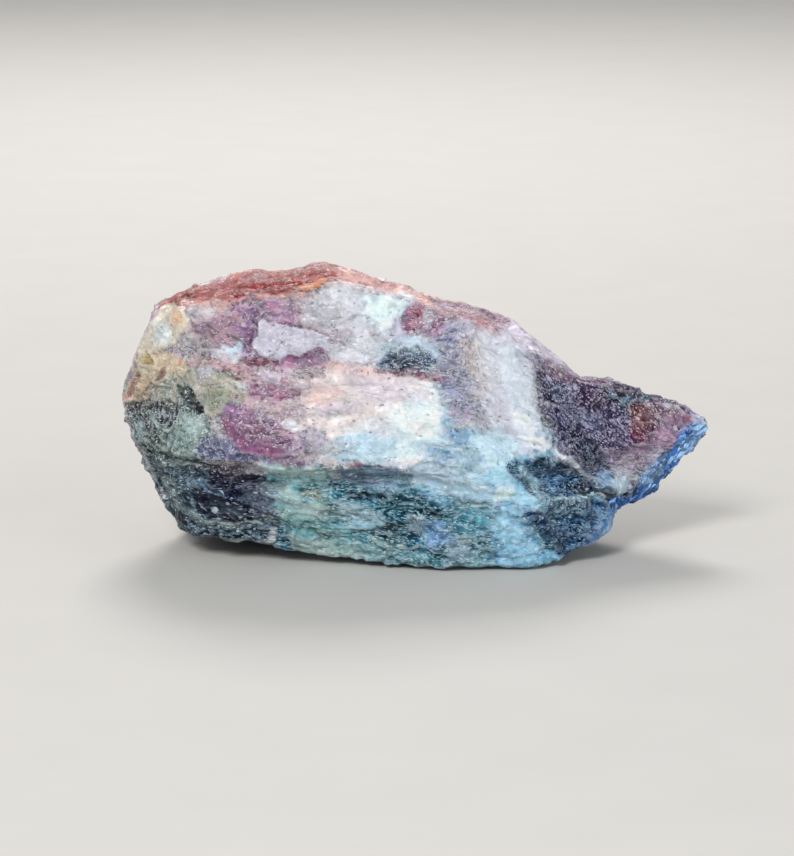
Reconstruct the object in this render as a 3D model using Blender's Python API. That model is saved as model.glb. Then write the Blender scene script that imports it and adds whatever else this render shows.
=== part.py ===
"""Raw chevron amethyst: one broken lump of banded quartz, at its real size, lying on its flattest side.

The lump is a single solid. It is lofted through named ridge lines that run from the blunt left end to the
pointed right end (+X), broken into tilted fracture faces and layered ledges, thinned to flat triangles, and
levelled underneath, where it rests. Front is -Y, and the rest face is at Z = 0. Blender units are metres;
the shaping works in millimetres.
"""

import bisect
import math

import bmesh
import bpy
import numpy as np
from mathutils import Vector, noise
from mathutils.geometry import intersect_point_line

# Driving dimensions, in metres.
LENGTH = 0.100
DEPTH = 0.048
HEIGHT = 0.048

# Ridge lines of the lump in millimetres, as (x, y, z) from the left end to the right end. Neighbouring lines
# are joined by a strip of surface, so each line is an edge or a shoulder of the stone.
LEFT_END = (-50.0, 0.0, 25.3)
RIGHT_END = (50.0, 0.0, 19.7)

RIDGES = {
    # back edge of the flat top, which is the skyline
    "crest": [(-46.9, 2, 33), (-43, 4, 40), (-38.5, 6, 43.8), (-34, 6, 44.9), (-28, 7, 46.2), (-21.4, 7, 46.3),
              (-17, 7, 47.1), (-10.3, 6.5, 45.9), (-1.8, 6, 42.6), (6.7, 5, 41), (11.9, 4, 40.3),
              (19.5, 3, 35.6), (27.2, 3, 28.8), (36.6, 3, 26.9), (46, 1.5, 23.6)],
    # front edge of the flat top
    "brow": [(-46.6, -2, 33), (-43, -4, 40), (-40, -7, 42.8), (-34, -9, 44.6), (-28, -11, 45.6),
             (-19.7, -12, 46.6), (-14.6, -10, 47.2), (-7.8, -9, 46.6), (-1.3, -8, 44.2), (4.2, -9, 41.9),
             (11, -9, 39.7), (19, -9, 34.9), (27.2, -4, 29.6), (38.3, -2, 26.4), (46.8, -0.5, 21.9)],
    # foot of the steep upper face, where the bulge begins
    "ledge": [(-48.6, -2.5, 28), (-44, -6, 31.5), (-38.5, -10, 33.9), (-31.6, -13, 34.4), (-19.7, -15, 32.3),
              (-7.8, -15, 33.1), (4.2, -14, 32.4), (12.7, -13.5, 31), (19.5, -12.5, 29), (27, -7.5, 24.5),
              (38, -3.4, 21.5), (46, -1, 20.5)],
    # shoulder of the bulge, then the sharp ridge that runs down under the pointed end
    "shoulder": [(-49, -2.5, 23), (-45.3, -6, 26), (-36.8, -13.5, 27.5), (-31.6, -17.5, 28.2), (-19.7, -20.5, 27.9),
                 (-6.1, -21, 28), (4.2, -20, 27), (12.7, -18.5, 24.7), (20.7, -17, 22.2), (26.4, -14, 17.3),
                 (32, -9.5, 11.2), (38.5, -5, 12.2), (44.1, -2.8, 17)],
    # lip where the bulge turns under, then the white ridge below the pointed end
    "lip": [(-48.4, -3, 18.5), (-40.2, -12, 17.5), (-34.2, -16, 18), (-29.9, -19.5, 20), (-24.8, -21.5, 19.2),
            (-16.3, -22.5, 18.2), (-4.4, -23, 18.4), (4.2, -22.5, 18), (12.7, -21, 14.9), (19.5, -19.5, 11.1),
            (23.8, -17.5, 10.6), (32.3, -10, 10.4), (37.5, -2.5, 7.6), (41.3, -2, 9.4), (44.8, -1.2, 12.4),
            (48.7, -0.4, 16.9)],
    # front edge of the underside
    "front_foot": [(-48.4, -1.5, 18), (-47.3, -2, 15.8), (-46.1, -2, 13.7), (-44.1, -3, 10.4), (-42.7, -5, 8),
                   (-41.9, -6, 6.7), (-40.5, -8, 4.5), (-38.5, -9, 3), (-34.2, -11.5, 3.3), (-28.2, -12.5, 3.2),
                   (-22.3, -13.5, 2), (-16.3, -14, 1.1), (-9.5, -15.5, 0.3), (2.5, -19, -0.5), (11, -18.5, -0.5),
                   (19.5, -18, -0.5), (23.8, -16, 0.3), (28.2, -13, 2.3), (31.7, -10, 4.8), (33.2, -6, 6.8),
                   (37.5, 0.5, 6.7), (41.4, 0.5, 8.6), (44.8, 0.4, 11.8), (48.7, 0.2, 16.5)],
    # back edge of the underside
    "back_foot": [(-47.5, 3, 17), (-40, 10, 2), (-35, 12, -0.8), (-8, 15, -0.8), (20, 13, -0.8), (33, 6.5, 6.5),
                  (43, 3, 12), (47, 1, 16)],
    # widest line of the back
    "back_bulge": [(-48, 5.5, 24), (-33, 21, 21), (4, 25.5, 16), (27, 15, 14), (42, 7, 15.5), (47.5, 2, 18.2)],
    # back edge of the slope that falls from the crest
    "back_slope": [(-47.5, 4.5, 31), (-37, 13, 40), (-6, 18.5, 38.5), (21, 11.5, 28.5), (38, 7, 22.8),
                   (46, 2.8, 21.2)],
}
"""The lines go once round the section: over the brow, down the front, under, and up the back."""

STATIONS = 220  # sections along the length
STRIP_STEPS = 12  # rows of faces between two ridge lines
VOXEL = 0.7  # mm, edge of the even mesh that the fracture relief is worked on
TRIANGLES = 9200  # faces of the finished solid
REST_CUT = 1.5  # mm levelled off the lowest points of the underside
SEED = 21  # sets the offsets of noise_vector

# Fracture relief, in millimetres: each size of face, how steeply its faces tilt, how softly they meet, its
# seed, and the share of it that the front keeps, which broke more evenly than the back. The stretch makes the
# faces longer along the stone than across it.
FRACTURES = [
    {"size": 15.0, "tilt": 0.26, "blend": 1.0, "seed": 3.0, "front": 0.3},
    {"size": 5.0, "tilt": 0.24, "blend": 0.45, "seed": 11.0, "front": 1.0},
]
TILT_SCATTER = 5.3  # spreads the tilts, so that neighbouring faces lean differently
FRONT_Y = (-12.0, -2.0)  # mm, from fully front to fully back
POINT_CALM = {"from": 22.0, "to": 32.0, "share": 0.65}  # mm along the stone, where the point breaks more evenly
FACE_STRETCH = Vector((0.6, 1.0, 1.1))
WARP = {"size": 6.0, "reach": 1.4}
SWELL = {"size": 26.0, "height": 0.6}
BEDDING = Vector((0.17, 0.25, 0.95)).normalized()  # normal of the growth layers
LEDGES = {"spacing": 3.2, "height": 0.5, "waviness": 0.8, "wave_size": 15.0, "top": 27.0, "fade": 8.0,
          "riser": 0.18, "right": 24.0, "right_fade": 7.0, "right_share": 0.3}


# Hollows in the front, in millimetres: a trough from start to end, its half width, and its depth.
HOLLOWS = {
    "undercut_left": {"start": (-44, -9, 15.0), "end": (-30, -19, 15.5), "reach": 3.0, "depth": 1.2},
    "undercut_middle": {"start": (-30, -19, 15.5), "end": (3, -22.5, 14.0), "reach": 3.2, "depth": 1.5},
    "under_ridge": {"start": (20, -18.5, 15.0), "end": (30, -11.5, 12.3), "reach": 3.1, "depth": 1.9},
    "lobe_groove": {"start": (22.1, -17.5, 8.3), "end": (25.2, -15, 2.0), "reach": 1.5, "depth": 1.0},
    "dark_pocket": {"start": (32.0, -9.5, 9.3), "end": (35, -5.0, 8.9), "reach": 1.3, "depth": 1.2},
    "above_bulge": {"start": (-22, -15.5, 31.0), "end": (4, -15, 31.4), "reach": 2.4, "depth": 0.7},
    "left_crack": {"start": (-43, -8, 15.0), "end": (-34, -16, 13.2), "reach": 1.2, "depth": 0.6},
}
TROUGH_BOTTOM = 0.3  # share of a trough's reach that is its flat bottom


def clear_scene():
    """Empties the scene of whatever it starts with."""
    for obj in list(bpy.data.objects):
        bpy.data.objects.remove(obj, do_unlink=True)


def smoothstep(low, high, value):
    """Smooth rise from 0 at low to 1 at high."""
    share = min(max((value - low) / (high - low), 0.0), 1.0)
    return share * share * (3 - 2 * share)


def point_on_ridge(points, x):
    """The (y, z) of a ridge line at x, straight between its points."""
    right = bisect.bisect_left(points, (x,))
    right = min(max(right, 1), len(points) - 1)
    (x0, y0, z0), (x1, y1, z1) = points[right - 1], points[right]
    share = (x - x0) / (x1 - x0)
    return y0 + (y1 - y0) * share, z0 + (z1 - z0) * share


def section(x):
    """Points round the lump at x, with STRIP_STEPS to each strip between two ridge lines."""
    corners = [
        point_on_ridge([LEFT_END, *points, RIGHT_END], x) for points in RIDGES.values()
    ]
    ring = []
    for (y0, z0), (y1, z1) in zip(corners, corners[1:] + corners[:1]):
        for step in range(STRIP_STEPS):
            share = step / STRIP_STEPS
            ring.append((x, y0 + (y1 - y0) * share, z0 + (z1 - z0) * share))
    return ring


def lofted_mesh():
    """The lump as straight strips between its ridge lines, in millimetres."""
    half = (RIGHT_END[0] - LEFT_END[0]) / 2
    middle = (RIGHT_END[0] + LEFT_END[0]) / 2
    made = bmesh.new()
    rings = []
    for station in range(1, STATIONS):
        x = middle - half * math.cos(math.pi * station / STATIONS)
        rings.append([made.verts.new(point) for point in section(x)])
    for ring, following in zip(rings, rings[1:]):
        for i in range(len(ring)):
            j = (i + 1) % len(ring)
            made.faces.new((ring[i], ring[j], following[j], following[i]))
    for end, ring in ((LEFT_END, rings[0]), (RIGHT_END, rings[-1])):
        pole = made.verts.new(end)
        for i in range(len(ring)):
            made.faces.new((pole, ring[i], ring[(i + 1) % len(ring)]))
    bmesh.ops.recalc_face_normals(made, faces=made.faces)
    mesh = bpy.data.meshes.new("loft")
    made.to_mesh(mesh)
    made.free()
    return mesh


def with_modifier(mesh, kind, **settings):
    """A new mesh: the given one after one modifier."""
    obj = bpy.data.objects.new("work", mesh)
    bpy.context.scene.collection.objects.link(obj)
    modifier = obj.modifiers.new(kind.title(), kind)
    for name, value in settings.items():
        setattr(modifier, name, value)
    graph = bpy.context.evaluated_depsgraph_get()
    result = bpy.data.meshes.new_from_object(obj.evaluated_get(graph))
    bpy.data.objects.remove(obj)
    return result


def fracture_height(point, face):
    """Height at a point of one size of fracture: every cell is a flat face with a tilt of its own."""
    warp = noise.noise_vector(point / WARP["size"]) * WARP["reach"]
    offset = Vector((face["seed"],) * 3)
    place = (point + warp) * FACE_STRETCH / face["size"] + offset
    distances, centres = noise.voronoi(place)
    heights = []
    for centre in centres[:2]:
        tilt = noise.noise_vector(centre * TILT_SCATTER) * face["tilt"]
        heights.append(tilt.dot((place - centre) * face["size"]))
    gap = (distances[1] - distances[0]) * face["size"]
    nearest_share = 0.5 + 0.5 * smoothstep(0, face["blend"], gap)
    return heights[0] * nearest_share + heights[1] * (1 - nearest_share)


def ledge_height(point):
    """Height of the layered ledges: each layer leans out and then steps back, most on the lower left flanks."""
    wave = noise.noise(point / LEDGES["wave_size"]) * LEDGES["waviness"]
    layer = point.dot(BEDDING) / LEDGES["spacing"] + wave
    share = layer - math.floor(layer)
    profile = smoothstep(0, LEDGES["riser"], share) - share
    strength = 1 - smoothstep(LEDGES["top"] - LEDGES["fade"], LEDGES["top"], point.z)
    calm = smoothstep(LEDGES["right"] - LEDGES["right_fade"], LEDGES["right"], point.x)
    return profile * LEDGES["height"] * strength * (1 - calm * (1 - LEDGES["right_share"]))


def hollow_depth(point, hollow):
    """How deep a point lies in a trough: full over its flat bottom, nothing past its reach."""
    start, end = Vector(hollow["start"]), Vector(hollow["end"])
    nearest, share = intersect_point_line(point, start, end)
    nearest = start.lerp(end, min(max(share, 0), 1))
    bottom = hollow["reach"] * TROUGH_BOTTOM
    return hollow["depth"] * (1 - smoothstep(bottom, hollow["reach"], (point - nearest).length))


def relief(point):
    """How far the broken surface stands out from the lofted one at a point."""
    height = noise.noise(point / SWELL["size"]) * SWELL["height"] + ledge_height(point)
    calm = smoothstep(POINT_CALM["from"], POINT_CALM["to"], point.x) * POINT_CALM["share"]
    back = smoothstep(*FRONT_Y, point.y) * (1 - calm)
    for face in FRACTURES:
        height += fracture_height(point, face) * (face["front"] + (1 - face["front"]) * back)
    return height - sum(hollow_depth(point, hollow) for hollow in HOLLOWS.values())


def broken_mesh(mesh):
    """Moves every point of the even mesh out or in by the relief."""
    normals = [vertex.normal.copy() for vertex in mesh.vertices]
    for vertex, normal in zip(mesh.vertices, normals):
        vertex.co += normal * relief(vertex.co)
    return mesh


def levelled(mesh):
    """Cuts the lowest REST_CUT off, which leaves the flat face that the stone rests on."""
    lowest = min(vertex.co.z for vertex in mesh.vertices)
    made = bmesh.new()
    made.from_mesh(mesh)
    everything = made.verts[:] + made.edges[:] + made.faces[:]
    cut = bmesh.ops.bisect_plane(
        made,
        geom=everything,
        plane_co=(0, 0, lowest + REST_CUT),
        plane_no=(0, 0, 1),
        clear_inner=True,
    )
    rim = [item for item in cut["geom_cut"] if isinstance(item, bmesh.types.BMEdge)]
    bmesh.ops.holes_fill(made, edges=rim)
    bmesh.ops.triangulate(made, faces=made.faces)
    bmesh.ops.recalc_face_normals(made, faces=made.faces)
    made.to_mesh(mesh)
    made.free()
    return mesh


def fitted(mesh):
    """Scales the lump to its driving dimensions in metres, with the middle of its rest side at the origin."""
    points = np.array([vertex.co for vertex in mesh.vertices])
    low, high = points.min(0), points.max(0)
    scale = np.array((LENGTH, DEPTH, HEIGHT)) / (high - low)
    middle = np.array(((low[0] + high[0]) / 2, (low[1] + high[1]) / 2, low[2]))
    mesh.vertices.foreach_set("co", ((points - middle) * scale).astype(np.float32).ravel())
    mesh.update()
    return mesh


def stone_material():
    """Banded amethyst, seen as one mean colour."""
    material = bpy.data.materials.new("amethyst")
    material.use_nodes = True
    shader = material.node_tree.nodes["Principled BSDF"]
    shader.inputs["Base Color"].default_value = (0.42, 0.38, 0.46, 1)
    shader.inputs["Roughness"].default_value = 0.45
    shader.inputs["Metallic"].default_value = 0.0
    return material


def build_amethyst():
    """Makes the lump as one object."""
    even = with_modifier(lofted_mesh(), "REMESH", mode="VOXEL", voxel_size=VOXEL)
    rough = broken_mesh(even)
    rough.calc_loop_triangles()
    share = TRIANGLES / len(rough.loop_triangles)
    thinned = with_modifier(rough, "DECIMATE", ratio=share)
    mesh = fitted(levelled(thinned))
    mesh.name = "amethyst"
    mesh.materials.append(stone_material())
    bpy.context.scene.collection.objects.link(bpy.data.objects.new("amethyst", mesh))


noise.seed_set(SEED)
clear_scene()
build_amethyst()
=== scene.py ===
"""Raw chevron amethyst: the look of one broken lump of banded quartz, laid over its solid.

Each operator makes one piece: the lump with its broken surface, the small quartz scales that stand on it,
the crystals along the rim of its point, and the stage it lies on. Shaping works in millimetres, the scene
is in metres. Front is -Y and the stone rests at Z = 0.
"""

import math

import bmesh
import bpy
import numpy as np
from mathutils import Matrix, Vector, noise


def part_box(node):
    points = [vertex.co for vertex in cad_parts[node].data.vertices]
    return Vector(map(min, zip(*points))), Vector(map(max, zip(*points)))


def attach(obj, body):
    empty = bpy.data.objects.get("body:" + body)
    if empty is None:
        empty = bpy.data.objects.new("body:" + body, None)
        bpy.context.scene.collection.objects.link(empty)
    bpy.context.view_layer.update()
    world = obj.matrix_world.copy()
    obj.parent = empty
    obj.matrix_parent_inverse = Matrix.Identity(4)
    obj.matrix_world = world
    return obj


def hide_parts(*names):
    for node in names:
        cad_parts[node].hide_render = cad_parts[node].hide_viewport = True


bl_info = {
    "name": "Raw chevron amethyst",
    "version": (1, 0, 0),
    "blender": (4, 5, 0),
    "location": "3D View > Sidebar > Amethyst",
    "description": "Makes a raw lump of chevron amethyst on a plain stage",
    "category": "Add Mesh",
}

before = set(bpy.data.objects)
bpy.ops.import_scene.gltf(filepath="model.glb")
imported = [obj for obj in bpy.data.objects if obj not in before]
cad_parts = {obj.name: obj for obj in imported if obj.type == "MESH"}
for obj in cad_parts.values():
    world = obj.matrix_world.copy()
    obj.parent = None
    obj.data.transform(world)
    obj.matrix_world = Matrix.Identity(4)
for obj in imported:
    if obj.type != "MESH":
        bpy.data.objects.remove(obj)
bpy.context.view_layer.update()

MM = 0.001
EDGE_ROOM = 0.00002  # metres that the surface keeps inside the solid's box

# The front drawing: its unit in mm, its middle, and where the eye stands in front of it, in metres. The
# lens is in mm.
DRAWING_UNIT = 0.1706
DRAWING_MIDDLE = (397, 428)
EYE_AIM = Vector((-0.0032, 0.0, 0.0200))
EYE_DISTANCE = 0.6
EYE_ELEVATION = math.radians(13)
LENS = 147.9
EYE_BACK = Vector((0, -math.cos(EYE_ELEVATION), math.sin(EYE_ELEVATION)))


# ---------------------------------------------------------------- sizes and colours

def length(name, description, millimetres):
    """A size in the sidebar, given in millimetres."""
    return bpy.props.FloatProperty(name=name, description=description, default=millimetres * MM,
                                   unit="LENGTH", precision=5, min=0.0)


def tint(name, description, red, green, blue):
    """A colour in the sidebar, from 0 to 255 on each channel as a screen shows it."""
    return bpy.props.FloatVectorProperty(name=name, description=description, subtype="COLOR_GAMMA",
                                         size=3, min=0, max=1,
                                         default=(red / 255, green / 255, blue / 255))


class AmethystSizes(bpy.types.PropertyGroup):
    """Sizes of the broken surface and of what grows on it."""

    mesh_step: length("Mesh step", "Edge of the even mesh under the surface", 0.34)
    cleft_height: length("Cleft height", "How far the tilted break faces stand out", 0.4)
    cleft_size: length("Cleft size", "Width of one tilted break face", 3.4)
    chip_height: length("Chip height", "How far the small chips stand out", 0.28)
    chip_size: length("Chip size", "Width of one small chip", 1.3)
    ledge_height: length("Ledge height", "Height of one thin ledge", 0.45)
    hackle_height: length("Hackle height", "Height of the splintery streaks", 0.5)
    scale_length: length("Scale length", "Longest of the small quartz scales", 0.8)
    scale_short: length("Shortest scale", "Shortest of the small quartz scales", 0.25)
    scale_gap: length("Scale gap", "Mean distance between scales where they are thickest", 0.8)
    grain_length: length("Grain length", "Longest of the rim crystals", 2.6)
    grain_short: length("Shortest rim crystal", "Shortest of the rim crystals", 1.0)
    grain_gap: length("Grain gap", "Mean distance between the rim crystals", 0.7)
    floor_reach: length("Floor reach", "Half the width of the floor", 4000)


class AmethystColours(bpy.types.PropertyGroup):
    """Colours of the stone's minerals, some with light and shade painted in, and of the floor."""

    rust: tint("Rust", "Iron-stained crust on the top", 166, 100, 98)
    rust_dark: tint("Dark rust", "Deepest iron stain", 132, 40, 44)
    ochre: tint("Ochre", "Bright iron spots", 228, 168, 122)
    # Laid only as the top highlight along the skyline: a painted highlight.
    salmon: tint("Salmon", "Thin stain over pale quartz", 209, 165, 155)
    skin: tint("Skin", "Pale peach crust", 216, 173, 168)
    peach: tint("Peach", "Warm milky quartz", 234, 222, 220)
    dusty_mauve: tint("Dusty mauve", "Stained quartz at the top right", 178, 147, 162)
    blush: tint("Blush", "Pale pink quartz", 214, 205, 220)
    cream: tint("Cream", "Cream quartz at the left end", 216, 206, 189)
    sand: tint("Sand", "Yellowish quartz over the left flank", 202, 185, 161)
    olive: tint("Olive", "Olive stain", 172, 156, 102)
    umber: tint("Umber", "Brown streaks", 108, 70, 55)
    pearl: tint("Pearl", "Grey-white quartz", 209, 211, 220)
    fog: tint("Fog", "Grey quartz", 176, 168, 177)
    mauve: tint("Mauve", "Pale amethyst", 148, 120, 136)
    purple: tint("Purple", "Amethyst", 156, 118, 149)
    violet: tint("Violet", "Deep amethyst", 138, 106, 144)
    lilac_grey: tint("Lilac grey", "Clouded amethyst", 160, 146, 156)
    lilac_white: tint("Lilac white", "Whitish amethyst", 194, 192, 212)
    flake: tint("Flake", "Milky raised flake", 201, 199, 214)
    magenta: tint("Magenta", "Reddish amethyst", 135, 90, 125)
    burgundy: tint("Burgundy", "Darkest reddish spots", 140, 84, 104)
    ice: tint("Ice", "Bluish white quartz", 228, 247, 254)
    mist: tint("Mist", "Pale grey-blue quartz", 190, 217, 232)
    white: tint("White", "White quartz band", 216, 224, 234)
    navy: tint("Navy", "Dark blue-grey pockets", 84, 106, 136)
    taupe: tint("Taupe", "Grey-brown streaked quartz", 161, 159, 177)
    sage: tint("Sage", "Grey-green quartz", 172, 171, 161)
    moss: tint("Moss", "Green-stained quartz", 130, 144, 122)
    mint: tint("Mint", "Pale green fractures", 176, 202, 202)
    charcoal: tint("Charcoal", "Dark grey spots", 30, 38, 44)
    soot: tint("Soot", "Brownish grey crust", 48, 51, 55)
    grey_green: tint("Grey green", "Lower left flank", 104, 126, 123)
    smoky: tint("Smoky purple", "Dull purple low on the left", 93, 100, 134)
    # Kept this dark partly as painted shade on the underside, partly the stone's own colour.
    midnight: tint("Midnight", "Darkest blue, low on the left", 4, 8, 30)
    indigo: tint("Indigo", "Darkest purple", 42, 42, 74)
    # Near black laid in pits and cracks and on faces turned from the light: painted shade.
    hollow_shade: tint("Hollow", "Blackest hollows", 2, 8, 22)
    # Partly the underside's own colour, partly painted shade.
    slate: tint("Slate", "Blue-grey underside", 20, 44, 60)
    slate_blue: tint("Slate blue", "Smooth grey underside", 88, 100, 122)
    plum_grey: tint("Plum grey", "Smoky lens under the bulge", 110, 135, 157)
    steel: tint("Steel", "Grey-blue grains", 124, 163, 191)
    # Dusk to teal navy: blues and teals of the underside and of the point's lower side, partly the stone's
    # colour, partly the cool cast of the light painted in, and in the dark ones painted shade.
    dusk: tint("Dusk", "Middle of the underside", 57, 117, 137)
    glacier: tint("Glacier", "Blue quartz, low on the right", 110, 175, 209)
    teal: tint("Teal", "Green-blue underside", 105, 167, 179)
    deep_teal: tint("Deep teal", "Dark green-blue underside", 12, 70, 90)
    cyan_white: tint("Cyan white", "Pale blue quartz, low on the right", 177, 221, 241)
    lavender: tint("Lavender", "Blue-violet spots", 119, 174, 223)
    teal_navy: tint("Teal navy", "Dark blue under the point", 2, 50, 91)
    point_purple: tint("Point purple", "Dark amethyst of the point", 47, 40, 72)
    point_brown: tint("Point brown", "Brown patch on the point", 98, 60, 64)
    dusty_pink: tint("Dusty pink", "Pink patch near the tip", 141, 114, 138)
    rim_blue: tint("Rim blue", "Crystals under the point", 40, 112, 194)
    # Also laid along the lobe's outline as a painted highlight.
    rim_light: tint("Light rim blue", "Lightest rim crystals", 158, 196, 230)
    # Also laid along ridges and raised edges as a painted highlight.
    frost: tint("Frost", "White scales and fresh edges", 226, 232, 240)
    floor: tint("Floor", "Plain pale floor", 196, 194, 190)


def sizes():
    """The sizes as the sidebar has them."""
    return bpy.context.scene.amethyst_sizes


def colour(name):
    """One of the colours, in the linear values that meshes and shaders take."""
    screen = np.array(getattr(bpy.context.scene.amethyst_colours, name))
    low = screen / 12.92
    high = ((screen + 0.055) / 1.055) ** 2.4
    return np.where(screen <= 0.04045, low, high)


# ---------------------------------------------------------------- the front drawing

def from_drawing(corners):
    """Places in drawing units, in mm from the drawing's middle."""
    return (np.array(corners) - DRAWING_MIDDLE) * (DRAWING_UNIT, -DRAWING_UNIT)


def patch(name, mineral, outline, soft, pale, dark, rise=0.0, width=None, share=1.0):
    """One area of the front. The outline is in drawing units, and with a width it is an open streak.

    soft is the width of its border in mm, pale and dark the shares of pale and dark flecks in it, rise how
    far it stands out in mm, and share how fully it covers what is under it.
    """
    corners = [tuple(float(value) for value in corner.split(",")) for corner in outline.split()]
    if len(corners) < (3 if width is None else 2):
        raise ValueError(f"{name}: its outline has too few corners")
    return {"mineral": mineral, "points": from_drawing(corners), "soft": soft, "pale": pale, "dark": dark,
            "rise": rise, "width": width, "share": share}


# The blue rim of the point, where crystals stand out of the edge.
RIM = patch("rim", "rim_blue", "692,422 682,434 676,445 671,453 660,460 649,468 641,477 632,487 622,494"
            " 607,498 604,509 640,503 662,488 682,470 702,446 714,430", 0.4, 0.6, 0.4, 0.1)

# The areas give the stone's colours as seen from the front, with some of its light and shade painted in:
# darker under overhangs, in pits and on faces turned down, lighter along lit ridges and the outline.
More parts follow.
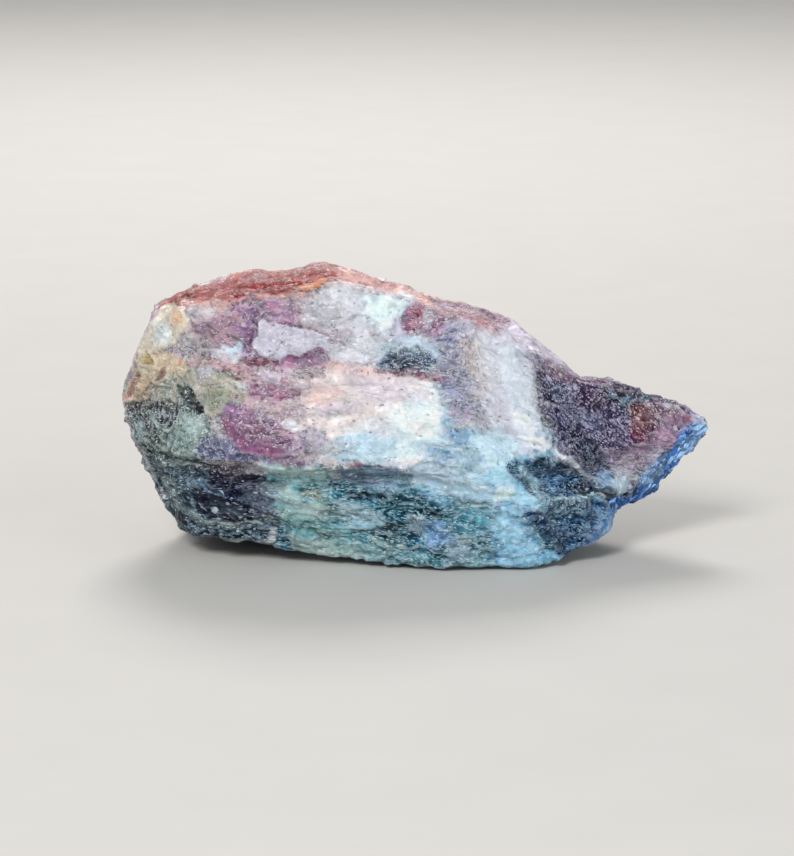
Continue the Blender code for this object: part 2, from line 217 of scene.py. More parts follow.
PATCHES = [
    # what lies under everything else on the front
    patch("upper wall", "lilac_grey", "118,262 600,262 600,400 440,392 225,370 120,390", 1.5, 0.3, 0.25),
    patch("left flank", "grey_green", "110,395 150,370 200,360 232,372 240,402 222,425 205,470 150,478"
        " 110,430", 1.0, 0.45, 0.4),
    patch("bulge", "peach", "245,383 270,378 300,374 330,364 372,368 400,374 436,382 444,396 450,414 448,446"
        " 425,463 370,466 330,464 300,456 283,432 268,415 246,405", 0.9, 0.3, 0.12),
    patch("right wall", "taupe", "436,335 500,325 545,345 552,440 500,470 440,470", 1.5, 0.5, 0.3),
    patch("left underside", "slate", "140,468 200,464 270,474 332,480 332,575 160,555", 1.2, 0.45, 0.4),
    patch("middle underside", "dusk", "318,466 450,472 520,470 530,585 310,580", 1.5, 0.6, 0.55),
    patch("right underside", "glacier", "480,462 560,440 600,490 610,510 560,585 500,585 486,510",
        1.8, 0.35, 0.25),
    patch("point", "point_purple", "536,354 580,372 725,385 725,445 605,500 560,462 540,436", 0.6, 0.5, 0.5),

    # the stained top
    patch("rust top", "rust", "150,318 158,300 165,290 190,276 240,262 270,258 296,260 318,254 345,258"
        " 345,280 326,282 318,289 302,293 270,298 252,297 247,303 228,309 205,308 178,308 162,309",
        0.7, 0.1, 0.12),
    patch("top highlight", "salmon", "165,298 178,290 190,285 210,282 222,277 240,272 262,270 285,272"
        " 300,268 320,264 345,270", 0.9, 0.3, 0.2, width=0.9, share=0.45),
    # A grey sheen on the top: painted highlight.
    patch("grey sheen highlight", "lilac_grey", "238,272 262,270 272,277 258,282 240,281", 0.9, 0.2, 0.2, share=0.3),
    patch("left dark rust", "rust_dark", "183,292 212,288 214,296 195,299 183,298", 0.8, 0.2, 0.5, share=0.6),
    patch("dark rust", "rust_dark", "230,284 262,283 280,280 318,278 322,282 300,285 285,293 270,295 262,290"
        " 246,298 238,299 230,292", 0.6, 0.15, 0.22),
    patch("ochre spot", "ochre", "296,284 306,283 325,280 318,287 302,290", 0.6, 0.2, 0.3, share=0.75),
    patch("salmon foot", "skin", "180,300 230,300 250,297 304,290 306,297 252,301 228,310 190,309",
        0.8, 0.4, 0.1, share=0.9),
    patch("skin band", "skin", "340,262 345,258 385,272 430,290 485,302 488,312 455,309 430,308 408,300"
        " 385,291 362,285 345,283 336,281", 0.9, 0.2, 0.12),
    patch("skin line", "rust", "356,271 385,280 405,288 420,296", 0.5, 0.2, 0.2, width=0.5, share=0.5),
    patch("mauve top", "dusty_mauve", "430,298 488,304 512,318 530,334 520,341 500,338 470,333 452,322"
        " 436,313", 0.7, 0.4, 0.35),
    patch("first red streak", "rust", "456,312 476,316 496,330", 0.8, 0.4, 0.4, width=0.9, share=0.6),
    patch("second red streak", "rust_dark", "476,314 492,318 512,330", 0.5, 0.3, 0.4, width=0.5, share=0.3),
    patch("maroon line", "magenta", "482,311 496,316 513,324", 0.4, 0.2, 0.3, width=0.6, share=0.5),
    patch("pink slope", "blush", "498,332 514,320 530,330 548,342 565,360 582,375 570,374 554,363 540,355"
        " 526,349 512,345", 0.5, 0.12, 0.06),

    # the steep upper wall, from the left
    patch("grey-white", "fog", "186,306 214,307 214,322 192,324 186,340 176,346 168,340 180,330",
        0.9, 0.3, 0.25),
    patch("cream lump", "cream", "160,309 172,305 184,308 189,322 184,333 172,346 158,352 138,357 134,345"
        " 144,333 154,320", 0.5, 0.12, 0.08, 0.35),
    patch("cyan heart", "mist", "156,324 170,324 174,334 168,343 156,343", 1.0, 0.15, 0.1, share=0.55),
    patch("yellow spot", "ochre", "174,312 181,309 182,322 174,323", 0.6, 0.2, 0.2, share=0.55),
    patch("sand", "sand", "136,356 165,350 186,357 188,372 165,379 150,374 134,374", 0.8, 0.35, 0.3),
    patch("olive spot", "olive", "141,356 149,352 154,358 151,370 140,370", 0.8, 0.2, 0.3, share=0.85),
    patch("second yellow spot", "ochre", "177,360 184,360 184,369 177,368", 0.6, 0.2, 0.3, share=0.8),
    patch("mauve", "mauve", "193,323 212,316 222,312 238,318 241,334 238,346 222,345 205,340 192,334",
        0.7, 0.15, 0.15),
    patch("pink mauve", "dusty_mauve", "206,334 240,336 240,347 224,347 206,341", 0.8, 0.3, 0.2, share=0.6),
    patch("grey grains", "fog", "172,346 188,336 206,341 222,346 214,352 206,358 196,359 186,361 176,357",
        0.7, 0.45, 0.3, share=0.8),
    patch("grain light", "pearl", "188,334 202,336 201,344 188,343", 0.7, 0.4, 0.2, share=0.4),
    patch("reddish violet", "purple", "228,306 246,299 258,299 258,320 244,322 238,318 228,314",
        0.8, 0.4, 0.4, share=0.8),
    patch("violet", "violet", "246,310 258,306 262,312 259,322 259,334 252,341 243,341 236,335 234,329"
        " 242,322", 0.5, 0.3, 0.4, -0.15),
    patch("right purple", "purple", "262,303 270,299 290,298 300,304 303,328 290,328 272,329 266,321 262,312",
        0.6, 0.35, 0.3),
    patch("purple light", "blush", "284,302 300,302 300,313 284,312", 0.8, 0.3, 0.2, share=0.35),
    patch("purple foot", "violet", "268,322 285,326 302,327", 0.6, 0.2, 0.3, width=0.7, share=0.7),
    patch("fog", "fog", "300,302 320,290 334,300 352,300 354,330 345,347 331,346 327,336 318,330 302,328",
        0.9, 0.35, 0.25),
    patch("fog light", "pearl", "302,305 320,292 350,302 354,330 332,328 304,322", 1.2, 0.3, 0.2, share=0.6),
    patch("ice gradient", "pearl", "316,293 330,287 345,288 370,291 390,296 409,303 402,315 395,326 388,331"
        " 372,333 360,345 350,345 352,320 345,304 332,300", 1.0, 0.2, 0.1, 0.1),
    patch("ice block", "ice", "366,300 380,295 400,299 409,301 403,314 396,322 389,330 380,332 368,322"
        " 362,310", 1.8, 0.08, 0.02, 0.2),
    patch("ice edge", "ice", "384,298 408,301 402,315 395,323 389,329 384,318", 0.3, 0.0, 0.0, 0.15),
    patch("ice top line", "frost", "338,286 362,286 385,292 407,300", 0.5, 0.1, 0.0, width=0.9, share=0.6),
    patch("lower pearl", "pearl", "330,346 352,344 375,333 396,330 402,341 386,346 372,358 360,367 345,363"
        " 328,359", 0.9, 0.4, 0.25),
    patch("cream strip", "skin", "326,359 345,362 372,369 400,372 400,378 372,377 345,374 322,368",
        0.9, 0.2, 0.15, share=0.6),
    patch("gap lilac", "lilac_white", "394,318 405,315 404,332 414,338 430,338 430,344 402,344 390,336",
        0.7, 0.4, 0.25),
    patch("gap grains", "violet", "240,341 252,340 259,348 263,357 244,359 241,348",
        0.6, 0.6, 0.6, -0.2, share=0.8),
    patch("raised flake", "flake", "258,322 265,319 272,327 283,325 288,328 300,329 312,330 329,337 328,351"
        " 320,348 310,351 301,356 290,355 280,360 268,361 260,354 253,346 252,340 258,334",
        0.22, 0.3, 0.2, 0.35),
    # The raised flake's top edge, lightened as a painted highlight.
    patch("flake edge", "frost", "259,333 259,323 265,320 273,328 283,326 300,330 312,331 328,338",
        0.25, 0.1, 0.0, 0.1, width=0.3, share=0.7),
    patch("flake vein", "fog", "304,333 308,342 318,346", 0.4, 0.1, 0.3, width=0.4, share=0.6),
    patch("small flake", "pearl", "213,350 222,350 232,354 244,352 241,359 236,363 224,361 213,358",
        0.22, 0.1, 0.05, 0.35, share=0.7),
    patch("flake tip", "mist", "222,346 232,349 240,341 243,346 243,352 232,354 222,349",
        0.3, 0.2, 0.15, 0.15),
    patch("magenta streak", "magenta", "281,361 290,355 302,357 312,349 318,348 326,352 329,360 320,365"
        " 308,368 290,368 281,367", 0.3, 0.2, 0.25, -0.1),
    patch("lilac foot", "lilac_grey", "288,369 310,366 324,366 324,377 300,380 288,376", 0.8, 0.6, 0.4),
    patch("streak end", "lilac_white", "314,354 328,355 327,362 314,363", 0.6, 0.4, 0.2, share=0.4),
    patch("saddle", "dusty_mauve", "190,359 214,358 236,364 262,368 285,369 292,380 302,388 270,384 250,381"
        " 225,373 205,367 188,370", 0.7, 0.5, 0.3),
    patch("burgundy spot", "burgundy", "240,359 255,358 272,358 279,363 278,368 262,367 248,366",
        0.4, 0.25, 0.45, -0.15),
    patch("first brown streak", "umber", "205,362 225,368 250,379 272,384",
        0.4, 0.3, 0.4, width=0.5, share=0.6),
    patch("second brown streak", "umber", "238,366 262,373 292,386", 0.4, 0.3, 0.4, width=0.5, share=0.6),
    patch("saddle stain", "skin", "188,360 214,360 236,366 258,372 252,377 226,370 190,368",
        0.7, 0.4, 0.3, share=0.5),
    patch("saddle shade", "mauve", "236,367 264,369 260,378 238,376", 0.7, 0.4, 0.4, share=0.85),
    patch("saddle light", "blush", "262,367 286,376 276,381 257,374", 0.6, 0.2, 0.1, share=0.8),

    # the rust crystal and the dark pocket
    patch("crystal", "purple", "404,308 412,303 424,307 436,311 446,316 445,326 440,336 428,338 418,335"
        " 408,337 401,327 402,316", 0.5, 0.5, 0.4, -0.3),
    patch("crystal rust", "rust_dark", "409,306 422,308 420,316 408,315", 0.6, 0.4, 0.5, share=0.8),
    patch("crystal wine", "burgundy", "402,317 412,318 424,327 418,331 406,331", 0.6, 0.4, 0.5, share=0.8),
    patch("second crystal wine", "burgundy", "432,322 442,320 440,332 430,336", 0.6, 0.4, 0.5, share=0.4),
    patch("crystal heart", "pearl", "422,311 428,308 434,312 433,322 429,328 424,324",
        0.9, 0.3, 0.1, share=0.6),
    patch("lavender grains", "lilac_white", "446,318 472,322 472,335 455,338 448,330", 0.8, 0.6, 0.4),
    patch("grey grains right", "smoky", "440,328 452,320 458,330 455,345 438,343", 0.8, 0.6, 0.5, share=0.8),
    patch("pocket haze", "mist", "386,342 410,336 430,340 440,352 436,372 380,372 372,360",
        1.6, 0.5, 0.3, share=0.8),
    patch("pocket", "navy", "379,362 387,357 396,350 404,347 420,350 432,355 437,364 428,371 408,372 392,370"
        " 378,367", 1.1, 0.5, 0.6, -0.35),
    patch("pocket core", "midnight", "388,356 402,352 416,355 430,363 418,369 400,370 388,365",
        1.0, 0.35, 0.5, share=0.75),
    patch("rust line", "burgundy", "376,371 398,373 420,375 442,379", 0.5, 0.4, 0.5, width=0.8, share=0.85),

    # the right wall
    patch("wall grains", "smoky", "436,346 455,345 466,372 474,404 480,414 455,406 442,399 437,374",
        1.3, 0.6, 0.5, share=0.5),
    patch("wall sand", "sand", "458,338 484,338 494,360 494,392 480,398 466,366", 1.6, 0.5, 0.3, share=0.4),
    patch("wall mauve", "mauve", "450,409 476,412 502,416 510,433 490,431 470,421 448,419",
        0.9, 0.5, 0.35, share=0.3),
    patch("white band", "pearl", "478,332 505,333 524,350 533,364 535,390 540,412 548,436 549,450 528,456"
        " 503,454 490,425 484,395 480,360", 2.2, 0.3, 0.12, share=0.8),
    patch("band core", "white", "498,344 520,347 531,366 533,390 539,415 546,436 524,438 512,424 508,395"
        " 502,368", 1.6, 0.15, 0.04, 0.1),
    patch("band shade", "smoky", "516,351 530,355 536,373 524,372", 1.0, 0.4, 0.3, share=0.35),
    patch("band foot", "frost", "520,436 541,430 553,448 540,453 520,447", 1.0, 0.05, 0.0),
    patch("band streak", "taupe", "497,402 506,420 509,440", 1.4, 0.5, 0.4, width=1.0, share=0.5),
    patch("cyan spot", "ice", "424,386 440,383 442,398 430,398", 0.7, 0.4, 0.3, share=0.8),
    patch("right foot", "mist", "440,432 500,428 522,446 505,472 470,482 440,480 424,466 424,446",
        1.4, 0.45, 0.3),
    patch("grey lilac foot", "lilac_white", "414,464 445,460 462,480 442,492 412,484",
        1.2, 0.4, 0.3, share=0.8),
    patch("foot grains", "steel", "450,448 478,446 486,462 470,472 455,464", 1.0, 0.5, 0.4, share=0.4),

    # the bulge
    patch("salmon bulge", "skin", "298,388 325,382 345,392 330,408 308,406", 1.2, 0.25, 0.15, share=0.5),
    patch("bulge dust", "taupe", "306,407 352,400 364,408 345,416 318,419", 1.0, 0.35, 0.25, share=0.6),
    patch("pale bulge", "blush", "345,372 400,378 430,388 440,400 400,400 362,402",
        1.4, 0.2, 0.08, share=0.6),
    patch("white bulge", "ice", "400,408 424,398 440,402 448,414 449,432 428,452 402,464 376,460 350,452"
        " 336,440 366,436 384,424", 3.2, 0.2, 0.06, share=0.85),
    patch("cyan shade", "mist", "326,442 345,436 362,430 396,438 402,456 372,465 340,463 318,453",
        1.1, 0.3, 0.2),
    patch("bulge foot shade", "steel", "320,440 342,438 356,446 348,458 326,455", 1.0, 0.4, 0.2, share=0.4),
    patch("grey crystal", "pearl", "368,417 392,419 399,432 380,439 364,431", 0.8, 0.25, 0.1, share=0.7),
    patch("small grey crystal", "pearl", "376,397 392,399 389,413 377,413", 0.5, 0.15, 0.1, share=0.5),
    patch("bright bulge", "frost", "404,424 420,408 438,404 446,416 438,436 418,448 398,456 392,440",
        2.0, 0.1, 0.0, share=0.2),
    patch("foot of the glow", "ice", "396,440 412,432 424,436 424,450 412,460 396,456",
        1.2, 0.1, 0.0, share=0.25),
    patch("shade of the glow", "mist", "412,438 440,438 447,444 440,456 424,460 410,452",
        1.0, 0.3, 0.1, share=0.65),
    patch("bulge end", "steel", "438,392 446,396 452,404 446,411 458,418 453,427 459,436 450,446 438,455"
        " 426,460 438,446 444,432 440,420 445,410", 0.7, 0.5, 0.2, share=0.45),
    patch("end shade", "smoky", "437,388 450,387 455,404 443,403", 0.8, 0.5, 0.3, share=0.75),
    patch("smoky crystal", "steel", "437,417 450,420 452,428 475,429 476,434 470,438 468,448 446,446 450,436"
        " 448,428", 0.35, 0.2, 0.2, -0.1, share=0.85),
    patch("small smoky crystal", "steel", "441,449 451,449 456,458 449,461 443,456",
        0.35, 0.2, 0.3, -0.1, share=0.8),
    patch("foot shade", "steel", "424,442 452,452 462,462 448,470 430,462", 1.0, 0.5, 0.3, share=0.6),
    patch("white ledge", "frost", "342,429 360,423 370,419 371,430 352,435", 0.4, 0.15, 0.0, 0.15, share=0.8),
    patch("lip glow", "ice", "386,453 405,456 424,459", 0.9, 0.1, 0.0, width=1.1, share=0.5),
    patch("grey purple", "taupe", "297,430 322,428 332,444 318,456 302,452", 0.9, 0.5, 0.45, share=0.85),
    patch("bulge shadow", "lilac_grey", "286,402 308,404 306,420 312,436 340,440 344,450 318,466 292,460"
        " 290,440 296,426 286,414", 1.0, 0.45, 0.35, share=0.5),
    patch("shadow top", "mauve", "276,397 300,397 304,408 284,410", 0.8, 0.5, 0.4, share=0.5),
    patch("shadow foot", "violet", "288,438 306,440 308,453 294,455", 0.8, 0.5, 0.4, share=0.5),
    patch("bulge shade", "fog", "286,446 300,452 330,457 346,467 312,470 290,460", 1.0, 0.4, 0.3, share=0.6),
    patch("wine spot", "magenta", "292,440 302,440 305,449 296,451", 0.5, 0.2, 0.4, share=0.8),
    patch("reddish streaks", "purple", "246,382 275,383 296,389 305,396 292,400 270,402 250,400",
        0.8, 0.5, 0.3),
    patch("first pale streak", "blush", "262,376 282,378 281,384 262,383", 0.6, 0.3, 0.1, share=0.55),
    patch("second pale streak", "blush", "297,384 312,385 311,392 297,391", 0.6, 0.3, 0.1, share=0.85),
    patch("first wine streak", "burgundy", "254,385 274,389 300,393", 0.5, 0.3, 0.4, width=0.7, share=0.7),
    patch("second wine streak", "burgundy", "252,394 268,397 288,399", 0.5, 0.3, 0.4, width=0.6, share=0.6),
    patch("pink wash", "dusty_mauve", "240,402 262,401 292,407 302,416 280,422 262,413 243,410",
        0.9, 0.5, 0.35, share=0.75),
    patch("purple specks", "purple", "226,418 240,406 262,411 280,424 293,431 297,442 291,449 275,445"
        " 262,445 248,443 236,437 228,428", 0.6, 0.5, 0.55),
    patch("specks light", "blush", "255,412 270,413 272,421 257,421", 0.6, 0.5, 0.3, share=0.5),
    patch("specks shade", "smoky", "287,438 304,440 305,451 289,450", 0.9, 0.4, 0.3, share=0.45),
    patch("violet spot", "violet", "221,412 229,403 237,403 237,413 230,421 222,421", 0.35, 0.15, 0.3),
    patch("magenta band", "magenta", "217,418 224,430 231,440 238,449 248,456 262,459 280,464 300,469"
        " 320,474 314,466 300,459 287,451 274,444 262,441 250,440 242,434 234,426 227,416",
        0.3, 0.08, 0.1, 0.25),
    patch("under the band", "lilac_grey", "250,459 280,467 312,473 345,470 350,478 320,480 280,474 255,466",
        0.7, 0.4, 0.3, share=0.85),
    patch("band highlight", "dusty_pink", "234,445 248,451 266,456 292,463",
        0.4, 0.1, 0.1, width=0.45, share=0.6),
    patch("white spot", "frost", "281,424 286,419 294,419 299,428 295,432 288,430", 0.3, 0.1, 0.05, 0.2),

    # the left flank
    patch("cream rim", "sand", "120,400 128,388 135,374 142,364 160,366 188,366 190,375 178,378 166,379"
        " 158,384 150,392 146,399 134,401 124,404", 0.5, 0.35, 0.3, 0.3),
    patch("pale tip", "skin", "120,398 128,389 135,396 127,404", 0.6, 0.3, 0.1, share=0.7),
    patch("first brown rim", "umber", "130,393 135,384 139,376", 0.5, 0.2, 0.4, width=0.9, share=0.8),
    patch("second brown rim", "umber", "141,399 150,389 160,379 166,368",
        0.5, 0.2, 0.4, width=0.7, share=0.7),
    patch("pale sage", "sage", "151,398 156,386 166,379 177,381 179,392 181,403 165,403 151,402",
        0.5, 0.3, 0.25, share=0.85),
    patch("sage", "sage", "178,379 195,370 212,369 225,375 240,381 246,392 242,403 228,403 222,413 212,417"
        " 204,413 196,394 186,385", 0.5, 0.2, 0.15, 0.15),
    patch("moss", "moss", "204,386 240,385 243,396 226,398 222,406 212,410 206,400",
        1.0, 0.2, 0.2, share=0.6),
    patch("ochre corner", "umber", "228,393 237,392 239,402 228,402", 0.9, 0.1, 0.2, share=0.35),
    patch("sage ridge", "cream", "210,374 224,383 238,393", 0.4, 0.2, 0.1, 0.1, width=0.4, share=0.6),
    patch("second sage ridge", "cream", "205,380 216,381 232,390", 0.4, 0.2, 0.1, width=0.3, share=0.5),
    patch("lilac spot", "lilac_white", "200,366 213,366 211,376 202,377", 0.7, 0.2, 0.1, share=0.7),
    patch("white corner", "frost", "234,380 246,382 244,392 238,388", 0.7, 0.3, 0.2, share=0.6),
    patch("dark flank", "soot", "123,403 150,400 170,401 181,405 184,419 172,417 160,414 150,413 140,412"
        " 126,414", 0.5, 0.3, 0.35),
    patch("speckled flank", "charcoal", "126,410 150,411 182,413 184,426 166,431 150,430 140,424 130,428",
        0.9, 0.6, 0.4),
    patch("flank glint", "mint", "134,419 142,423 145,431 136,428", 0.5, 0.3, 0.1, share=0.8),
    patch("second flank glint", "mint", "149,412 155,421 160,428", 0.4, 0.3, 0.2, width=0.6, share=0.7),
    patch("mint flank", "mint", "181,412 200,418 208,430 196,438 184,430 179,421", 1.0, 0.5, 0.3, share=0.7),
    patch("flank vein", "mint", "164,431 177,425 190,421 202,425", 0.5, 0.3, 0.2, width=0.7, share=0.7),
    patch("flank shade", "charcoal", "140,428 160,434 160,451 144,446", 1.0, 0.4, 0.4, share=0.75),
    patch("flank end", "fog", "208,419 221,417 227,432 234,441 222,443 211,436", 0.8, 0.5, 0.4, share=0.7),
    patch("glassy edge", "slate", "124,414 132,424 141,439 148,453 163,460 152,468 141,462 133,446 122,424",
        0.7, 0.2, 0.2, share=0.8),
    patch("charcoal leaf", "charcoal", "176,384 180,386 188,387 192,391 197,399 203,407 205,413 203,417"
        " 197,415 190,410 184,405 179,395", 0.25, 0.2, 0.15, -0.25),
    patch("purple flank", "smoky", "197,446 205,438 222,439 233,442 240,451 262,456 276,463 272,471 240,471"
        " 222,467 205,463 195,459", 0.6, 0.45, 0.45),
    patch("glassy strip", "slate", "146,455 185,462 202,465 198,471 170,472 150,470",
        0.6, 0.2, 0.2, share=0.35),
    patch("strip light", "mint", "160,457 200,460 212,466 190,468 162,463", 0.7, 0.4, 0.2, share=0.35),
    patch("flank foot", "lilac_grey", "206,461 262,462 276,468 240,470 208,467", 0.7, 0.5, 0.3, share=0.8),
    # A sunken line under the bulge's overhang, darkened with painted shadow.
    patch("long crack", "hollow_shade", "146,451 165,456 185,460 205,464 222,469",
        0.35, 0.1, 0.3, -0.35, width=0.6, share=0.8),

    # the left of the underside
    patch("glassy foot", "slate", "150,470 180,474 188,492 190,506 203,516 207,526 192,540 178,532 170,516"
        " 160,506 163,492 155,482", 0.8, 0.2, 0.15),
    patch("glassy rise", "mint", "163,477 176,479 178,497 166,497", 0.9, 0.2, 0.15, share=0.3),
    patch("glassy light", "mint", "176,505 191,510 202,518 213,531", 1.0, 0.2, 0.1, width=0.9, share=0.5),
    patch("glassy shade", "charcoal", "169,510 182,512 199,519 198,523 184,523 174,519",
        0.6, 0.2, 0.2, share=0.7),
    patch("midnight", "midnight", "194,469 222,468 245,472 273,476 275,490 272,506 263,519 250,523 225,522"
        " 204,521 196,509 190,496 190,480", 0.7, 0.1, 0.3),
    patch("indigo core", "midnight", "197,489 212,489 229,500 223,511 205,513 197,506", 0.7, 0.05, 0.1),
    patch("blue grains", "steel", "184,476 206,473 207,484 190,489", 1.0, 0.6, 0.5, share=0.3),
    patch("slate heart", "slate_blue", "246,490 262,486 277,494 276,516 262,518 250,512",
        1.4, 0.12, 0.12, share=0.85),
    patch("heart foot", "slate_blue", "226,505 246,508 246,519 228,518", 1.0, 0.3, 0.2, share=0.35),
    patch("slate light", "slate_blue", "258,486 276,490 277,513 262,506", 1.2, 0.2, 0.15, share=0.6),
    patch("first scratch", "steel", "204,489 213,493 223,498", 0.35, 0.2, 0.1, width=0.3, share=0.45),
    patch("second scratch", "steel", "200,479 205,487", 0.35, 0.2, 0.1, width=0.5, share=0.45),
    patch("third scratch", "steel", "239,500 248,501", 0.4, 0.2, 0.1, width=0.5, share=0.5),
    patch("fourth scratch", "steel", "191,501 194,509", 0.4, 0.2, 0.1, width=0.6, share=0.5),
    patch("pale arc", "steel", "204,518 212,513 222,510 232,512 244,517",
        0.4, 0.2, 0.1, 0.1, width=0.4, share=0.3),
    patch("bottom strip", "slate", "188,524 250,524 270,530 284,548 262,546 245,542 205,541 188,538",
        0.6, 0.35, 0.4),
    patch("strip line", "mint", "204,522 222,523 240,523 260,522", 0.35, 0.3, 0.3, width=0.4, share=0.7),
    patch("dark foot", "deep_teal", "274,528 288,528 302,545 290,550 274,543", 0.8, 0.4, 0.4),
    patch("bottom glint", "frost", "268,532 274,527 277,538 271,542", 0.4, 0.3, 0.1, share=0.6),

    # the middle of the underside
    patch("streaked shelf", "teal", "268,466 320,467 337,478 330,487 300,487 280,485 266,478",
        0.9, 0.5, 0.35),
    patch("first shelf line", "mint", "268,470 295,473 322,475", 0.4, 0.3, 0.1, 0.1, width=0.6, share=0.8),
    patch("shelf glow", "mint", "262,467 285,470 310,474 330,478", 0.7, 0.3, 0.1, width=1.3, share=0.8),
    patch("second shelf glow", "mint", "276,467 304,469 304,476 278,475", 0.7, 0.3, 0.1, share=0.75),
    patch("second shelf line", "mint", "280,480 300,482 322,483", 0.4, 0.3, 0.1, width=0.4, share=0.7),
    patch("sage teal", "teal", "268,487 285,484 300,491 318,498 334,512 346,524 356,536 360,548 356,560"
        " 325,558 306,551 294,539 284,521 274,504", 1.6, 0.25, 0.2),
    patch("mint band", "mint", "269,487 285,485 302,498 328,510 332,518 310,517 298,508 284,500",
        1.0, 0.3, 0.12, share=0.95),
    patch("sage light", "mint", "272,495 292,498 304,512 298,520 284,516", 1.2, 0.3, 0.15, share=0.5),
    patch("dark fringe", "slate", "264,477 284,481 282,492 270,502", 1.4, 0.3, 0.3, share=0.55),
    patch("green depth", "moss", "284,514 315,514 342,527 358,541 345,547 310,531 290,529",
        1.3, 0.2, 0.25, share=0.25),
    patch("olive bits", "moss", "302,489 320,489 330,500 318,504 304,498", 0.9, 0.4, 0.4, share=0.5),
    patch("pale foot", "mint", "290,534 310,534 332,545 380,545 385,558 356,566 325,564 298,556",
        1.2, 0.2, 0.08, share=0.85),
    patch("foot light", "mint", "308,537 334,539 337,549 312,548", 0.9, 0.3, 0.1, share=0.7),
    patch("dark streak", "charcoal", "311,527 319,532 328,536", 0.5, 0.1, 0.3, -0.15, width=0.7, share=0.8),
    patch("brown spot", "charcoal", "327,505 338,504 341,511 330,513", 0.6, 0.3, 0.4, share=0.8),
    patch("dark mass", "deep_teal", "326,478 340,484 358,491 385,494 410,490 436,496 452,505 446,520 430,529"
        " 426,547 395,547 370,533 352,524 350,512 335,498", 0.9, 0.55, 0.6),
    patch("dark blue", "deep_teal", "352,490 385,496 420,493 441,504 430,516 400,513 380,509 358,500",
        1.0, 0.4, 0.6, share=0.95),
    patch("lens shade", "hollow_shade", "333,487 355,492 383,491 404,493 432,497 438,503 404,502 380,501 350,498",
        0.6, 0.3, 0.4, share=0.9),
    patch("teal shoals", "cyan_white", "338,503 365,508 386,519 376,531 352,527 340,516",
        1.2, 0.5, 0.4, share=0.5),
    # A sunken streak, darkened with painted shade.
    patch("black streak", "hollow_shade", "368,528 400,526 421,533 417,541 385,539 372,535",
        0.8, 0.35, 0.4, -0.2, share=0.6),
    patch("second wisp", "cyan_white", "354,522 370,525 384,522", 0.4, 0.4, 0.2, width=0.7, share=0.8),
    patch("third wisp", "cyan_white", "406,524 432,520 432,531 408,534", 0.9, 0.5, 0.3, share=0.4),
    patch("fourth wisp", "cyan_white", "408,515 424,518", 0.4, 0.4, 0.2, width=0.6, share=0.8),
    patch("fifth wisp", "mint", "372,540 384,545 404,549", 0.5, 0.4, 0.2, width=0.8, share=0.7),
    patch("green foot", "teal", "360,541 400,547 424,555 414,566 385,563 360,560", 1.0, 0.5, 0.4, share=0.6),
    patch("lens", "plum_grey", "337,471 352,468 372,466 390,466 404,470 409,479 401,486 388,489 372,489"
        " 356,486 342,478", 0.7, 0.15, 0.2, -0.2),
    patch("lens grains", "steel", "376,474 405,474 413,481 402,490 380,489", 0.9, 0.5, 0.4, share=0.4),
    patch("lilac ledge", "mist", "410,466 425,460 440,468 436,481 414,480", 0.8, 0.3, 0.15, share=0.8),
    patch("grey sweep", "glacier", "416,484 440,476 500,474 507,502 480,512 450,508 430,500",
        1.8, 0.55, 0.3, share=0.6),
    patch("sweep light", "mist", "412,472 432,466 470,476 500,488 503,500 470,500 440,492",
        1.4, 0.4, 0.2, share=0.8),
    patch("lower sweep", "dusk", "440,500 500,500 492,540 450,545 444,520", 1.6, 0.55, 0.4, share=0.5),
    patch("sweep foot", "mist", "444,540 470,538 474,560 446,566", 1.2, 0.4, 0.3, share=0.45),
    # Painted shade in a dark spot of the underside.
    patch("brown hollow", "hollow_shade", "423,508 438,507 443,518 430,521", 0.8, 0.3, 0.3, share=0.8),
    patch("lavender spot", "lavender", "425,520 438,517 447,528 451,541 440,546 430,551 424,540",
        0.9, 0.5, 0.4, share=0.85),
    # Painted shade in a dark spot of the underside.
    patch("dark well", "hollow_shade", "430,546 444,545 446,558 432,561", 0.9, 0.4, 0.4, share=0.6),
    patch("second lavender", "lavender", "491,552 502,549 509,558 498,565", 0.9, 0.4, 0.3, share=0.3),

    # under the point
    patch("upper glow", "cyan_white", "484,468 505,464 518,484 538,498 542,504 515,505 496,492",
        1.6, 0.25, 0.1, share=0.9),
    patch("glow heart", "ice", "494,486 514,488 514,500 496,500", 1.4, 0.3, 0.1, share=0.8),
    patch("lower glow", "cyan_white", "490,514 510,511 522,530 520,546 504,541 494,529",
        1.8, 0.35, 0.15, share=0.75),
    patch("glow foot", "cyan_white", "498,549 545,545 540,562 500,566", 1.2, 0.3, 0.1, share=0.55),
    patch("glow shade", "steel", "510,506 530,507 527,520 514,518", 1.2, 0.2, 0.2, share=0.5),
    # The facet below the ridge turns down from the light: its dark is partly painted shade, and painted shade
    # darkens its top and its foot.
    patch("facet", "teal_navy", "506,464 514,459 522,462 532,461 548,455 556,459 566,463 581,471 593,480"
        " 602,488 590,495 570,499 550,503 540,502 530,493 519,481 510,471", 0.6, 0.5, 0.5),
    patch("facet teal", "dusk", "508,461 527,464 535,480 548,499 536,493 522,481", 1.0, 0.6, 0.4, share=0.6),
    patch("facet dark", "hollow_shade", "536,460 548,454 563,462 577,470 560,474 544,469",
        1.0, 0.3, 0.4, share=0.7),
    patch("facet violet", "hollow_shade", "562,482 580,480 602,487 607,498 592,500 574,494",
        0.8, 0.3, 0.4, share=0.95),
    patch("facet streak", "cyan_white", "520,467 529,477 538,484", 0.4, 0.5, 0.2, width=0.9, share=0.7),
    patch("second facet streak", "cyan_white", "528,478 533,488 541,497",
        0.4, 0.5, 0.2, width=0.6, share=0.7),
    # The ridge that catches the light: a painted highlight along it; it also stands out a little.
    patch("upper ridge", "frost", "524,437 540,442 553,449 566,459 578,468 588,477",
        0.3, 0.1, 0.0, 0.25, width=0.9, share=0.95),
